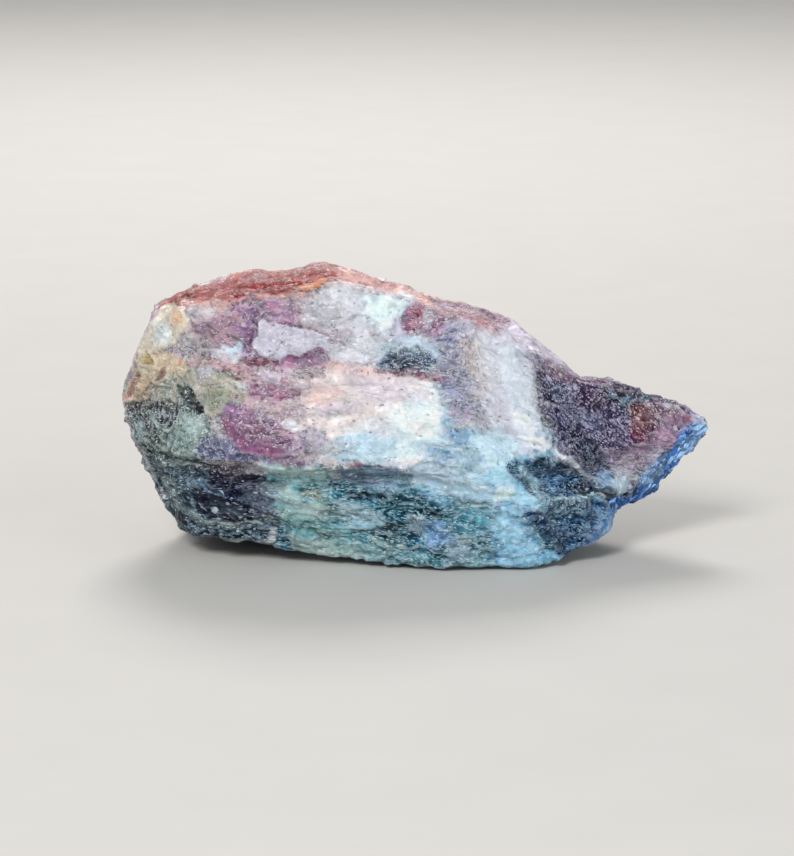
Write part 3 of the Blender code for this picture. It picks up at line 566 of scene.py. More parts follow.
    patch("ridge end", "steel", "580,468 592,476 599,484", 0.4, 0.3, 0.2, 0.1, width=0.6, share=0.8),
    patch("lobe", "teal_navy", "524,512 545,505 565,500 590,498 605,503 616,508 615,520 604,531 591,546"
        " 575,555 560,560 548,549 536,533", 0.7, 0.35, 0.45),
    patch("lobe fade", "teal_navy", "522,515 536,511 546,530 556,550 544,548 532,534",
        0.9, 0.5, 0.4, share=0.5),
    patch("lobe light", "dusk", "548,508 582,504 584,514 566,518 552,518", 1.2, 0.6, 0.4, share=0.45),
    patch("lobe shade", "hollow_shade", "574,522 592,522 588,538 574,540", 1.0, 0.4, 0.4, share=0.7),
    patch("lobe corner", "teal_navy", "531,506 549,505 551,514 536,518", 0.5, 0.3, 0.4, share=0.95),
    # The stripe down the lobe and the ledge along its top, which faces up to the lamps, are laid in painted
    # shade.
    patch("lobe stripe", "hollow_shade", "526,512 541,509 549,520 557,535 566,549 560,559 548,548 537,532 530,521",
        0.6, 0.05, 0.3, share=0.6),
    patch("lobe stripe light", "steel", "542,509 551,522 562,541", 0.6, 0.4, 0.3, width=0.7, share=0.5),
    patch("lobe top", "hollow_shade", "548,505 574,500 590,499 592,508 574,507 554,511", 0.8, 0.4, 0.4, share=0.85),
    patch("lobe lavender", "lavender", "588,506 608,508 605,524 596,536 590,530 594,518",
        1.0, 0.4, 0.3, share=0.8),
    patch("lobe edge", "rim_blue", "605,507 611,514 602,531 586,547 582,543 597,527",
        0.5, 0.3, 0.2, share=0.7),
    # Painted highlights along the lobe's lit outline and along the lower ridge.
    patch("lobe rim", "rim_light", "604,522 592,538 574,552 556,561", 0.35, 0.4, 0.1, width=0.35, share=0.7),
    patch("lower ridge", "cyan_white", "532,508 550,502 563,498 578,497 592,496",
        0.4, 0.3, 0.1, 0.1, width=0.45, share=0.85),

    # the point
    patch("point top", "mauve", "556,360 580,370 600,375 612,380 610,388 580,384 556,378",
        0.6, 0.2, 0.15, share=0.35),
    patch("point top end", "mauve", "612,380 640,386 672,394 692,406 672,408 655,403 640,397 610,388",
        0.6, 0.2, 0.3, share=0.15),
    patch("point top shade", "hollow_shade", "612,382 640,388 668,396 690,406 676,406 650,401 612,391",
        0.6, 0.3, 0.3, share=0.45),
    patch("point brow", "mauve", "545,356 562,364 580,378 572,382 556,379 541,368",
        0.9, 0.2, 0.2, share=0.55),
    patch("dark wall", "indigo", "539,380 560,384 566,412 572,440 556,442 545,428 540,402",
        1.2, 0.5, 0.5, share=0.55),
    patch("ridge halo", "smoky", "530,424 562,440 590,464 584,469 556,446 536,433", 0.9, 0.6, 0.3, share=0.5),
    patch("ridge glow", "mist", "537,425 552,430 558,441 543,437", 0.8, 0.5, 0.2, share=0.5),
    # Painted shade on the face that falls away beside the ridge.
    patch("dark fall", "hollow_shade", "568,428 600,438 606,455 602,472 590,470 574,455",
        1.4, 0.45, 0.4, share=0.95),
    patch("brown haze", "point_brown", "582,388 612,394 604,412 580,407", 1.6, 0.4, 0.4, share=0.2),
    patch("blue haze", "smoky", "558,405 602,411 602,424 562,427", 1.6, 0.5, 0.4, share=0.5),
    patch("second blue haze", "smoky", "548,384 576,386 572,401 552,400", 1.2, 0.6, 0.4, share=0.4),
    patch("point vein", "lilac_white", "534,396 545,402 562,410", 0.35, 0.3, 0.1, width=0.4, share=0.7),
    # A sunken crack and two pits, darkened with painted shade.
    patch("top crack", "hollow_shade", "582,382 599,386 616,390 632,394 652,399",
        0.35, 0.2, 0.2, -0.2, width=0.4, share=0.8),
    patch("crack light", "blush", "602,386 616,389 634,394", 0.3, 0.2, 0.0, 0.1, width=0.35, share=0.4),
    patch("first pit", "hollow_shade", "616,391 631,393 632,399 619,399", 0.4, 0.1, 0.1, -0.3),
    patch("second pit", "hollow_shade", "634,394 643,396 639,402 631,401", 0.4, 0.1, 0.1, -0.3),
    patch("first glint", "steel", "619,400 631,398 631,404 622,406", 0.5, 0.3, 0.2, share=0.9),
    patch("second glint", "steel", "640,399 650,397 649,403 640,404", 0.5, 0.3, 0.2, share=0.9),
    patch("third glint", "steel", "609,393 618,394 617,399 610,398", 0.5, 0.3, 0.2, share=0.6),
    patch("brown patch", "point_brown", "630,405 645,402 662,405 664,416 652,421 657,429 645,431 632,429"
        " 629,416", 1.2, 0.35, 0.45, share=0.95),
    patch("patch grains", "dusty_pink", "646,404 664,404 666,416 652,421 646,414", 0.9, 0.8, 0.3, share=0.5),
    patch("brow shade", "hollow_shade", "572,390 608,392 606,402 576,402", 1.2, 0.4, 0.3, share=0.4),
    patch("red core", "rust_dark", "631,430 648,429 652,440 641,445 631,441", 1.0, 0.2, 0.4, share=0.35),
    patch("dusty pink", "dusty_pink", "661,409 680,411 692,417 686,432 677,445 660,451 650,441 655,429"
        " 664,420", 0.8, 0.3, 0.3),
    patch("pale pink spot", "blush", "663,404 677,404 682,409 668,410", 0.5, 0.3, 0.1, share=0.7),
    patch("red spot", "rust", "682,413 691,415 690,421 683,421", 0.5, 0.2, 0.2, share=0.8),
    patch("lower pink", "dusty_pink", "626,448 645,444 668,439 674,448 655,459 640,460",
        1.0, 0.4, 0.25, share=0.6),
    patch("pale grains", "lilac_white", "640,455 660,449 668,452 655,464 642,468", 0.6, 0.5, 0.3, share=0.8),
    patch("dark violet", "indigo", "640,461 657,457 651,469 641,471", 0.7, 0.2, 0.4, share=0.3),
    patch("white grains", "blush", "608,462 632,455 642,468 634,477 614,478", 0.8, 0.5, 0.4, share=0.6),
    patch("blue grains right", "smoky", "598,455 619,449 624,459 608,466", 1.0, 0.6, 0.4, share=0.4),
    patch("pink haze", "dusty_pink", "606,452 640,448 660,456 636,474 612,470", 1.2, 0.5, 0.35, share=0.5),
    patch("lavender patch", "lavender", "595,473 611,471 612,484 602,489", 0.6, 0.4, 0.3, share=0.8),
    patch("white shelf", "mist", "611,478 625,475 627,484 620,491 611,488", 0.5, 0.85, 0.3, 0.1, share=0.9),
    patch("tip", "lilac_white", "690,414 703,416 708,427 694,426", 0.6, 0.2, 0.05, share=0.85),
    # A sunken pit, darkened with painted shade.
    patch("black hollow", "hollow_shade", "582,492 600,490 613,489 619,493 604,495 584,496", 0.35, 0.1, 0.1, -0.35),
    patch("yellowish lip", "cream", "597,495 612,494 615,498 602,500", 0.4, 0.3, 0.2, share=0.35),

    # the crystals under the point
    RIM,
    patch("upper rim", "rim_light", "688,438 697,421 712,422 708,436 690,454 674,462 668,462 680,450",
        0.8, 0.5, 0.2, share=0.6),
    patch("rim middle", "rim_light", "636,480 648,466 660,459 672,456 668,466 650,484",
        0.8, 0.5, 0.3, share=0.65),
    patch("rim foot", "teal_navy", "612,500 640,500 660,486 668,482 650,502 620,512",
        0.8, 0.5, 0.3, share=0.6),

    # the thin bright edges of the outline: painted highlights where the light grazes the rim of the stone
    patch("skyline", "blush", "134,350 142,338 153,320 158,304 166,294 178,286 190,281 215,277 240,268"
        " 265,265 296,265 318,261", 0.4, 0.15, 0.0, width=0.7, share=0.6),
    patch("right skyline", "blush", "385,277 430,293 485,303 512,318 532,333 552,349 568,364 582,374",
        0.4, 0.15, 0.0, width=0.6, share=0.5),
    patch("point skyline", "blush", "582,373 600,376 640,385 670,392 690,404 706,418",
        0.3, 0.2, 0.0, width=0.25, share=0.4),
    patch("left edge", "pearl", "122,398 124,412 130,428 140,448 146,462 156,480 164,494 161,506 170,517"
        " 178,530 190,539", 0.4, 0.2, 0.0, width=0.4, share=0.6),
    patch("bottom edge", "mint", "186,538 205,541 245,542 270,548 300,553 325,558 360,560 385,563 415,568"
        " 440,570", 0.4, 0.2, 0.0, width=0.5, share=0.6),
]

# Bands of the sides that the drawing doesn't show: where each colour stands along the stone, in mm.
BANDS = [
    (-62, "cream"), (-47, "cream"), (-43, "sage"), (-39, "lilac_grey"), (-35, "purple"), (-31, "mauve"),
    (-29, "pearl"), (-21, "peach"), (-16, "lilac_grey"), (-14, "magenta"), (-11, "purple"), (-9, "blush"),
    (-1, "ice"), (4, "pearl"), (6, "smoky"), (9, "navy"), (11, "taupe"), (16, "lilac_grey"), (18, "ice"),
    (25, "cyan_white"), (28, "teal_navy"), (31, "point_purple"), (42, "point_purple"), (47, "point_brown"),
    (54, "dusty_pink"), (62, "rim_blue"),
]
# How the bands bend and wander: the slope of the chevron's legs, the height of its corner in mm, how far it
# leans to the back, and the reach and size in mm of its wandering and of its frayed borders.
CHEVRON = {"bend": 0.55, "middle": 24.0, "skew": 0.3, "wander": 3.0, "wander_size": 14.0, "fray": 1.0,
           "fray_size": 3.5}
# Flecks of those sides: their usual share, and how far the wandering and the fraying change it.
SIDE_FLECKS = {"share": 0.35, "pale_change": 0.25, "dark_change": 0.2}
# Tints over the bands. Low down, dark teal and slate: partly the stone's colour, partly painted shade and the
# cool cast of the light. On tops that face up, rust, peach and mauve: partly stain, partly painted warm light
# from above. Cream on the left end. Heights and places along the stone are in mm, facings are parts of a
# normal.
LOW_TINT_AND_SHADE = {"height": (4, 17), "teal_from": (-35, -10), "teal": 0.55, "slate": 0.6}
TOP_STAIN_AND_LIGHT = {"facing": (0.3, 0.65), "height": (27, 33), "rust_to": (-12, 2), "peach_to": (6, 16),
             "mauve": 0.8, "wander": 2}
END_STAIN = {"facing": (0.5, 0.9), "height": (16, 24), "cream": 0.8}

# Gentle swells of the outline: middle in drawing units, radius and height in mm.
SWELLS = [
    ((174, 294), 2.5, 0.4), ((206, 283), 4.5, -0.7), ((292, 268), 3.0, -0.4), ((362, 272), 4.0, -0.5),
    ((388, 279), 3.0, -0.8), ((412, 291), 2.6, 1.1), ((460, 302), 3.0, -0.3), ((562, 358), 3.0, -0.3),
    ((582, 376), 2.6, -0.8), ((636, 386), 3.5, -0.5), ((628, 502), 5.5, 1.1), ((688, 450), 4.5, -0.7),
    ((330, 558), 7.0, 0.9), ((602, 532), 4.0, 1.3),
]

# Cosines to the eye over which the drawing, its raised areas and the swells fade in, and the one below
# which the surface is made coarser, and how many triangles that leaves.
DRAWN_FACING = (-0.25, 0.08)
RAISED_FACING = (0.15, 0.6)
SWELL_FACING = (-0.6, -0.2)
BACK_FACING = -0.1
LUMP_TRIANGLES = 194000

# How the borders of the drawing's areas wander and fray: (size, reach, seed), with sizes and reaches in mm.
WANDER = ((3.6, 0.3, 1.0), (1.4, 0.2, 5.0))
CROSS_SEED = 20  # added to a seed for the other direction
FRAY = {"sizes": ((0.7, 0.8, 9.0), (1.8, 1.0, 14.0)), "reach": 0.6}
BORDER_ROOM = 0.1  # mm looked past the border of an area
AROUND_ROUNDS = 22  # how often colours are averaged for the grains that stray over a border
NORMAL_ROUNDS = 6  # how often normals are averaged before they choose a colour

# Where the grain is drawn out and where it leans to the right: heights and places along the stone in mm.
STREAKED_BELOW = (13.0, 17.0)
STREAKED_HIGHER = {"from": -30, "slope": 0.03}  # that limit rises along the stone
SLANTED_FROM = (4, 14)
SLANTED_ABOVE = (12, 18)
POINT = {"from": 24, "lower": 12}  # the whole point leans, so its limit lies lower

# Weights of red, green and blue in the brightness of a colour, in linear light. The brightness over which
# small scales begin to stand on the surface, and over which the quartz turns from dark and grainy to milky.
# What milky quartz loses of its flecks.
BRIGHTNESS = (0.25, 0.6, 0.15)
SCALED = (0.08, 0.40)
MILKY = (0.30, 0.62)
MILKY_LOSS = {"pale": 0.65, "dark": 0.85}
ROUGHNESS = {"sides": 0.8, "front": 0.42, "dark": 0.9}  # of the break; dark flecks add the last to it
# Sharp edges, whitened as painted highlight, and recesses, darkened as painted shade: rounds of averaging
# they are felt over, and mm from flat over which they show.
EDGE = {"rounds": 3, "out": (0.03, 0.14), "in": (0.04, 0.16)}
HOLLOW_SHADE = {"rounds": 16, "in": (0.12, 0.5)}

# How each grain lies: degrees that it falls to the right, and how many times longer it is than wide.
CLEFT_LIE = (12, 1.8)
CHIP_LIE = (24, 1.7)
LEDGE_LIE = (8, 2.4)
LEDGE_LEVELS = 9.0  # levels that a full swell of the surface is cut into
HACKLE_LIES = ((6, 3.2), (42, 3.0))
GRAIN_LIES = ((8, 1.5), (44, 1.6))
STREAK_LIE = (7, 3.4)
WISP_LIES = ((10, 4.0), (42, 4.0))
FACET_LIE = (20, 1.6)

# Kinds of specks: their flecks, the most that they cover, whether they lie along the wisps, where their
# pattern starts, and their size in mm.
SPECKS = (
    ("Pale", 0.85, False, (17.0, 5.0, 31.0), 0.27),
    ("Pale", 0.2, False, (7.0, 13.0, 2.0), 0.75),
    ("Pale", 0.3, True, (29.0, 3.0, 11.0), 0.26),
    ("Dark", 0.4, False, (3.0, 23.0, 9.0), 0.42),
)
# Kinds of wisps: whether they lie along the wisps' own grain, their size and that of their clusters in mm,
# and how thin and how wide their lines are.
WISPS = ((False, 1.5, 2.4, 0.006, 0.03), (True, 0.6, 1.6, 0.012, 0.05))

# The two kinds of crystals that stand on the lump: width and thickness to their length, how far they turn
# from the grain, how steeply they climb, and the seed of their places.
SCALES = {"Width": 0.75, "Thickness": 0.28, "Scatter": 0.35, "Climb": 0.0, "Seed": 4}
RIM_CRYSTALS = {"Width": 0.5, "Thickness": 0.32, "Scatter": 0.35, "Climb": 1.5, "Seed": 9}
HUE_SWING = (0.18, 0.08, 0.16)  # how far a cell's red, green and blue stray
DEEPEST = (0.26, 0.28, 0.34)  # share of each colour that is left in the darkest specks and in the painted shade of recesses
WHITEST = (0.86, 0.86, 0.86)  # linear light of the whitest quartz
CRYSTAL_FACET = 0.3  # mm, size of the faces on them
STONE_FACETS = (0.8, 2.3)  # mm, sizes of the small and broad faces on the lump


def smoothstep(low, high, value):
    """Smooth rise from 0 at low to 1 at high."""
    share = np.clip((value - low) / (high - low), 0.0, 1.0)
    return share * share * (3 - 2 * share)


def noise_at(points, size, seed):
    """Smooth noise from about -1 to 1 at each point, for lumps of that size in mm."""
    offset = Vector((seed, seed * 1.7, seed * 0.6))
    return np.array([noise.noise(Vector(point) / size + offset) for point in points])


def distance_to(points, corners, closed):
    """Distance of each point to an outline or streak, negative inside a closed outline."""
    nearest = np.full(len(points), 1e9)
    inside = np.zeros(len(points), bool)
    ends = np.roll(corners, -1, axis=0) if closed else corners[1:]
    for start, end in zip(corners, ends):
        run = end - start
        offset = points - start
        share = np.clip(offset @ run / (run @ run), 0, 1)
        nearest = np.minimum(nearest, ((offset - share[:, None] * run) ** 2).sum(1))
        if closed and run[1]:
            crosses = (start[1] <= points[:, 1]) != (end[1] <= points[:, 1])
            meets = start[0] + (points[:, 1] - start[1]) * run[0] / run[1]
            inside ^= crosses & (points[:, 0] < meets)
    nearest = np.sqrt(nearest)
    return np.where(inside, -nearest, nearest)


def cover(points, fray, area):
    """How fully an area of the drawing covers each point; fray, about -1 to 1, breaks up its border."""
    reach = area["soft"] * (0.5 + FRAY["reach"]) + (area["width"] or 0) + BORDER_ROOM
    low, high = area["points"].min(0) - reach, area["points"].max(0) + reach
    near = np.nonzero(((points > low) & (points < high)).all(1))[0]
    distance = distance_to(points[near], area["points"], area["width"] is None) - (area["width"] or 0) / 2
    distance += fray[near] * area["soft"] * FRAY["reach"]
    result = np.zeros(len(points))
    result[near] = (1 - smoothstep(-area["soft"] / 2, area["soft"] / 2, distance)) * area["share"]
    return result


def on_drawing(points):
    """Where each point of the stone, in mm, appears on the front drawing, in mm from its middle."""
    eye = np.array(EYE_AIM + EYE_BACK * EYE_DISTANCE) / MM
    up = np.array((0, math.sin(EYE_ELEVATION), math.cos(EYE_ELEVATION)))
    ray = points - eye
    scale = EYE_DISTANCE / MM / (ray @ -np.array(EYE_BACK))
    return np.stack((ray[:, 0] * scale, ray @ up * scale), 1)


def facing(points, normals):
    """Cosine between each normal and the way to the eye."""
    way = np.array(EYE_AIM + EYE_BACK * EYE_DISTANCE) / MM - points
    way /= np.linalg.norm(way, axis=1)[:, None]
    return (normals * way).sum(1)


# ---------------------------------------------------------------- mesh work

def mesh_points(mesh):
    """The vertices of a mesh, in mm."""
    points = np.empty(len(mesh.vertices) * 3, np.float32)
    mesh.vertices.foreach_get("co", points)
    return points.reshape(-1, 3).astype(float) / MM


def mesh_normals(mesh):
    """The vertex normals of a mesh."""
    normals = np.empty(len(mesh.vertices) * 3, np.float32)
    mesh.vertex_normals.foreach_get("vector", normals)
    return normals.reshape(-1, 3).astype(float)


def neighbour_mean(mesh, values, rounds=1):
    """Each vertex's value replaced by the mean of its neighbours', as many times as asked."""
    ends = np.empty(len(mesh.edges) * 2, np.int32)
    mesh.edges.foreach_get("vertices", ends)
    first, second = ends.reshape(-1, 2).T
    count = np.maximum(np.bincount(ends, minlength=len(values)), 1)[:, None]
    for _ in range(rounds):
        total = np.zeros_like(values)
        for axis in range(values.shape[1]):
            total[:, axis] = (np.bincount(first, values[second, axis], len(values))
                              + np.bincount(second, values[first, axis], len(values)))
        values = total / count
    return values


def set_attribute(mesh, name, values):
    """Stores one number or colour for each vertex."""
    if values.ndim == 2:
        attribute = mesh.attributes.new(name, "FLOAT_COLOR", "POINT")
        full = np.concatenate((values, np.ones((len(values), 1))), 1)
        attribute.data.foreach_set("color", full.astype(np.float32).ravel())
    else:
        attribute = mesh.attributes.new(name, "FLOAT", "POINT")
        attribute.data.foreach_set("value", values.astype(np.float32))


def linked(name, mesh):
    """A new object in the scene."""
    obj = bpy.data.objects.new(name, mesh)
    bpy.context.scene.collection.objects.link(obj)
    return obj


def applied(obj, name):
    """The object's mesh after its modifiers, as a mesh of its own; the object goes."""
    graph = bpy.context.evaluated_depsgraph_get()
    mesh = bpy.data.meshes.new_from_object(obj.evaluated_get(graph))
    mesh.name = name
    bpy.data.objects.remove(obj)
    return mesh


def even_mesh(node, step):
    """A copy of a solid's mesh, merged and cut into even small faces."""
    mesh = node.data.copy()
    made = bmesh.new()
    made.from_mesh(mesh)
    bmesh.ops.remove_doubles(made, verts=made.verts, dist=1e-6)
    made.to_mesh(mesh)
    made.free()
    obj = linked("even", mesh)
    remesh = obj.modifiers.new("Even", "REMESH")
    remesh.mode = "VOXEL"
    remesh.voxel_size = step
    return applied(obj, "even")


def coarser_back(mesh, faces):
    """The mesh with its far side made coarser, down to a number of triangles."""
    away = facing(mesh_points(mesh), mesh_normals(mesh)) < BACK_FACING
    triangles = sum(len(polygon.vertices) - 2 for polygon in mesh.polygons)
    obj = linked("coarser", mesh)
    obj.vertex_groups.new(name="back").add(np.nonzero(away)[0].tolist(), 1.0, "REPLACE")
    fewer = obj.modifiers.new("Coarser back", "DECIMATE")
    fewer.vertex_group = "back"
    fewer.ratio = min(faces / triangles, 1.0)
    return applied(obj, "coarser")


def place_in_box(mesh, points, low, high):
    """Puts a mesh's vertices at points in mm, held inside a box given in metres."""
    low = (np.array(low) + EDGE_ROOM) / MM
    high = (np.array(high) - EDGE_ROOM) / MM
    low[2] = 0.0
    points = np.clip(points, low, high)
    mesh.vertices.foreach_set("co", (points * MM).astype(np.float32).ravel())
    mesh.update()


# ---------------------------------------------------------------- node trees

class Graph:
    """A node tree while it is being built, for shaders and for geometry."""

    def __init__(self, tree):
        self.tree = tree

    def add(self, kind, inputs=None, **settings):
        """A node with its settings, and its inputs linked or set by name."""
        node = self.tree.nodes.new(kind)
        for name, value in settings.items():
            setattr(node, name, value)
        for name, value in (inputs or {}).items():
            self.give(node.inputs[name], value)
        return node

    def give(self, socket, value):
        """Links a socket to another one's output, or sets its value."""
        if isinstance(value, bpy.types.NodeSocket):
            self.tree.links.new(value, socket)
        elif value is not None:
            socket.default_value = value

    def maths(self, operation, *values, clamp=False):
        """The result of one sum on numbers."""
        node = self.add("ShaderNodeMath", operation=operation, use_clamp=clamp)
        for socket, value in zip(node.inputs, values):
            self.give(socket, value)
        return node.outputs[0]

    def plus(self, first, second):
        """One number and another."""
        return self.maths("ADD", first, second)

    def less(self, first, second):
        """One number without another."""
        return self.maths("SUBTRACT", first, second)

    def times(self, first, second):
        """One number times another."""
        return self.maths("MULTIPLY", first, second)

    def line(self, value, slope, base):
        """A number times a slope, from a base."""
        return self.maths("MULTIPLY_ADD", value, slope, base)

    def vector(self, operation, *values, scale=None):
        """The result of one sum on vectors."""
        node = self.add("ShaderNodeVectorMath", operation=operation)
        for socket, value in zip(node.inputs, values):
            self.give(socket, value)
        if scale is not None:
            self.give(node.inputs["Scale"], scale)
        return node.outputs["Value" if operation == "DOT_PRODUCT" else "Vector"]

    def blend(self, share, first, second, kind="FLOAT", mode="MIX"):
        """Mixes two numbers or colours."""
        node = self.add("ShaderNodeMix", data_type=kind, clamp_factor=True)
        if kind == "RGBA":
            node.blend_type = mode
        sockets = [s for s in node.inputs if s.enabled]
        self.give(sockets[0], share)
        self.give(sockets[1], first)
        self.give(sockets[2], second)
        return next(s for s in node.outputs if s.enabled)

    def between(self, value, low, high):
        """Smooth rise from 0 at low to 1 at high."""
        node = self.add("ShaderNodeMapRange", {"Value": value, "From Min": low, "From Max": high},
                        interpolation_type="SMOOTHSTEP")
        return node.outputs[0]

    def noise(self, place, size, detail=2.0, roughness=0.5, kind="FBM"):
        """Noise of that size in mm, about 0.5 in the middle."""
        node = self.add("ShaderNodeTexNoise", {"Vector": place, "Scale": 1 / size, "Detail": detail,
                                               "Roughness": roughness}, noise_type=kind)
        return node.outputs[0]

    def streaked(self, place, turn, stretch):
        """Coordinates drawn out along a line that falls to the right by that many degrees."""
        turned = self.add("ShaderNodeVectorRotate", {"Vector": place, "Angle": -math.radians(turn)},
                          rotation_type="Y_AXIS")
        return self.vector("MULTIPLY", turned.outputs[0], (1 / stretch, 1.0, 1.0))

    def tilted_cells(self, place, size):
        """Height of flat faces of that size in mm, each with a lean of its own, from about -0.5 to 0.5."""
        scaled = self.vector("SCALE", place, scale=size_share(self, size))
        cells = self.add("ShaderNodeTexVoronoi", {"Vector": scaled, "Scale": 1.0})
        local = self.vector("SUBTRACT", scaled, cells.outputs["Position"])
        lean = self.vector("SUBTRACT", cells.outputs["Color"], (0.5, 0.5, 0.5))
        return self.vector("DOT_PRODUCT", local, lean)


def size_share(graph, size):
    """One over a size, whether it is a number or a socket."""
    return graph.maths("DIVIDE", 1.0, size) if isinstance(size, bpy.types.NodeSocket) else 1 / size


def new_tree(name, kind, inputs, outputs):
    """An empty node tree with named inputs and outputs, and the node at each end."""
    tree = bpy.data.node_groups.new(name, kind)
    for socket, socket_type in inputs:
        tree.interface.new_socket(socket, in_out="INPUT", socket_type="NodeSocket" + socket_type)
    for socket, socket_type in outputs:
        tree.interface.new_socket(socket, in_out="OUTPUT", socket_type="NodeSocket" + socket_type)
    graph = Graph(tree)
    return graph, graph.add("NodeGroupInput").outputs, graph.add("NodeGroupOutput")


def set_inputs(modifier, values):
    """Sets a Geometry Nodes modifier's inputs by their socket names."""
    for item in modifier.node_group.interface.items_tree:
        if item.in_out == "INPUT" and item.name in values:
            modifier[item.identifier] = values[item.name]


def named(graph, name):
    """A number stored on the mesh, in a geometry tree."""
    node = graph.add("GeometryNodeInputNamedAttribute", {"Name": name}, data_type="FLOAT")
    return node.outputs["Attribute"]


def finish_geometry(graph, geometry, material, output):
    """Ends a geometry tree: real faces, with their material."""
    real = graph.add("GeometryNodeRealizeInstances", {"Geometry": geometry})
    faced = graph.add("GeometryNodeSetMaterial", {"Geometry": real.outputs[0], "Material": material})
    graph.give(output.inputs[0], faced.outputs[0])


def broken_surface_tree():
    """Moves an even surface out and in as quartz breaks: tilted faces, chips, thin ledges, splinters."""
    graph, given, output = new_tree(
        "broken surface", "GeometryNodeTree",
        [("Geometry", "Geometry"), ("Cleft Size", "Float"), ("Cleft Height", "Float"),
         ("Chip Size", "Float"), ("Chip Height", "Float"), ("Ledge Height", "Float"),
         ("Hackle Height", "Float"), ("Material", "Material")],
        [("Geometry", "Geometry")])
    place = graph.vector("SCALE", graph.add("GeometryNodeInputPosition").outputs[0], scale=1 / MM)
    slant, rough = named(graph, "slant"), named(graph, "rough")
    # every break wanders a few mm from its line
    wander = graph.add("ShaderNodeTexNoise", {"Vector": place, "Scale": 0.35, "Detail": 1.0})
    warped = graph.vector("ADD", place, graph.vector("SCALE", wander.outputs["Color"], scale=2.2))

    clefts = graph.tilted_cells(graph.streaked(warped, *CLEFT_LIE), given["Cleft Size"])
    clefts = graph.times(clefts, given["Cleft Height"])
    chips = graph.tilted_cells(graph.streaked(warped, *CHIP_LIE), given["Chip Size"])
    chips = graph.times(chips, given["Chip Height"])
    # a smooth swell cut into levels, with a short rise from each to the next, and slid back to the middle
    level = graph.times(graph.noise(graph.streaked(warped, *LEDGE_LIE), size=5.0, detail=1.0), LEDGE_LEVELS)
    step = graph.between(graph.maths("FRACT", level), 0.0, 0.25)
    ledge = graph.less(graph.plus(graph.maths("FLOOR", level), step), level)
    ledge = graph.times(graph.less(ledge, 0.4), given["Ledge Height"])

    flat, steep = (graph.noise(graph.streaked(place, *lie), size=1.25, detail=3.0, roughness=0.62,
                               kind="RIDGED_MULTIFRACTAL") for lie in HACKLE_LIES)
    hackle = graph.blend(slant, flat, steep)
    hackle = graph.times(graph.less(hackle, 0.6), given["Hackle Height"])
    hackle = graph.times(hackle, rough)

    broken = graph.times(graph.plus(chips, ledge), graph.plus(rough, 0.3))
    height = graph.plus(graph.plus(clefts, broken), hackle)
    height = graph.plus(height, graph.times(named(graph, "rise"), MM))
    normal = graph.add("GeometryNodeInputNormal").outputs[0]
    offset = graph.vector("SCALE", normal, scale=height)
    moved = graph.add("GeometryNodeSetPosition", {"Geometry": given["Geometry"], "Offset": offset})
    finish_geometry(graph, moved.outputs[0], given["Material"], output)
    return graph.tree


def scatter_tree(name):
    """Scatters small eight-sided crystals over a surface, half sunk in it and lying along its streaks."""
    graph, given, output = new_tree(
        name, "GeometryNodeTree",
        [("Geometry", "Geometry"), ("Density", "Float"), ("Share", "String"), ("Longest", "Float"),
         ("Shortest", "Float"), ("Width", "Float"), ("Thickness", "Float"), ("Scatter", "Float"),
         ("Climb", "Float"), ("Seed", "Int"), ("Material", "Material")],
        [("Geometry", "Geometry")])
    share = graph.add("GeometryNodeInputNamedAttribute", {"Name": given["Share"]}, data_type="FLOAT")
    density = graph.times(share.outputs["Attribute"], given["Density"])
    spread = graph.add("GeometryNodeDistributePointsOnFaces",
                       {"Mesh": given["Geometry"], "Density": density, "Seed": given["Seed"]},
                       distribute_method="RANDOM")
    crystal = graph.add("GeometryNodeMeshUVSphere", {"Segments": 4, "Rings": 2, "Radius": 0.5})
    flat = graph.add("GeometryNodeSetShadeSmooth", {"Geometry": crystal.outputs[0], "Shade Smooth": False})

    def random(low, high, seed, kind="FLOAT"):
        """A random value for each crystal."""
        node = graph.add("FunctionNodeRandomValue", data_type=kind)
        sockets = [s for s in node.inputs if s.enabled]
        graph.give(sockets[0], low)
        graph.give(sockets[1], high)
        graph.give(node.inputs["Seed"], seed)
        return next(s for s in node.outputs if s.enabled)

    slant = named(graph, "slant")
    fall = graph.plus(graph.times(slant, 0.6), 0.12)
    along = graph.add("ShaderNodeCombineXYZ", {"X": 1.0, "Z": graph.less(given["Climb"], fall)})
    stood = graph.add("FunctionNodeAlignRotationToVector",
                      {"Vector": spread.outputs["Normal"]}, axis="Z")
    laid = graph.add("FunctionNodeAlignRotationToVector",
                     {"Rotation": stood.outputs[0], "Vector": along.outputs[0]}, axis="X", pivot_axis="Z")
    tilt = random((-1.0, -1.0, -1.0), (1.0, 1.0, 1.0), 5, "FLOAT_VECTOR")
    tilt = graph.vector("SCALE", tilt, scale=given["Scatter"])
    turned = graph.add("FunctionNodeRotateRotation",
                       {"Rotation": laid.outputs[0],
                        "Rotate By": graph.add("FunctionNodeEulerToRotation", {"Euler": tilt}).outputs[0]},
                       rotation_space="LOCAL")
    draw = graph.maths("POWER", random(0.0, 1.0, 7), 2.0)
    long = graph.blend(draw, given["Shortest"], given["Longest"])
    size = graph.add("ShaderNodeCombineXYZ",
                     {"X": long, "Y": graph.times(long, given["Width"]),
                      "Z": graph.times(long, given["Thickness"])})
    placed = graph.add("GeometryNodeInstanceOnPoints",
                       {"Points": spread.outputs["Points"], "Instance": flat.outputs[0],
                        "Rotation": turned.outputs[0], "Scale": size.outputs[0]})
    toned = graph.add("GeometryNodeStoreNamedAttribute",
                      {"Geometry": placed.outputs[0], "Name": "tone", "Value": random(0.0, 1.0, 9)},
                      data_type="FLOAT", domain="INSTANCE")
    finish_geometry(graph, toned.outputs[0], given["Material"], output)
    return graph.tree


# ---------------------------------------------------------------- materials

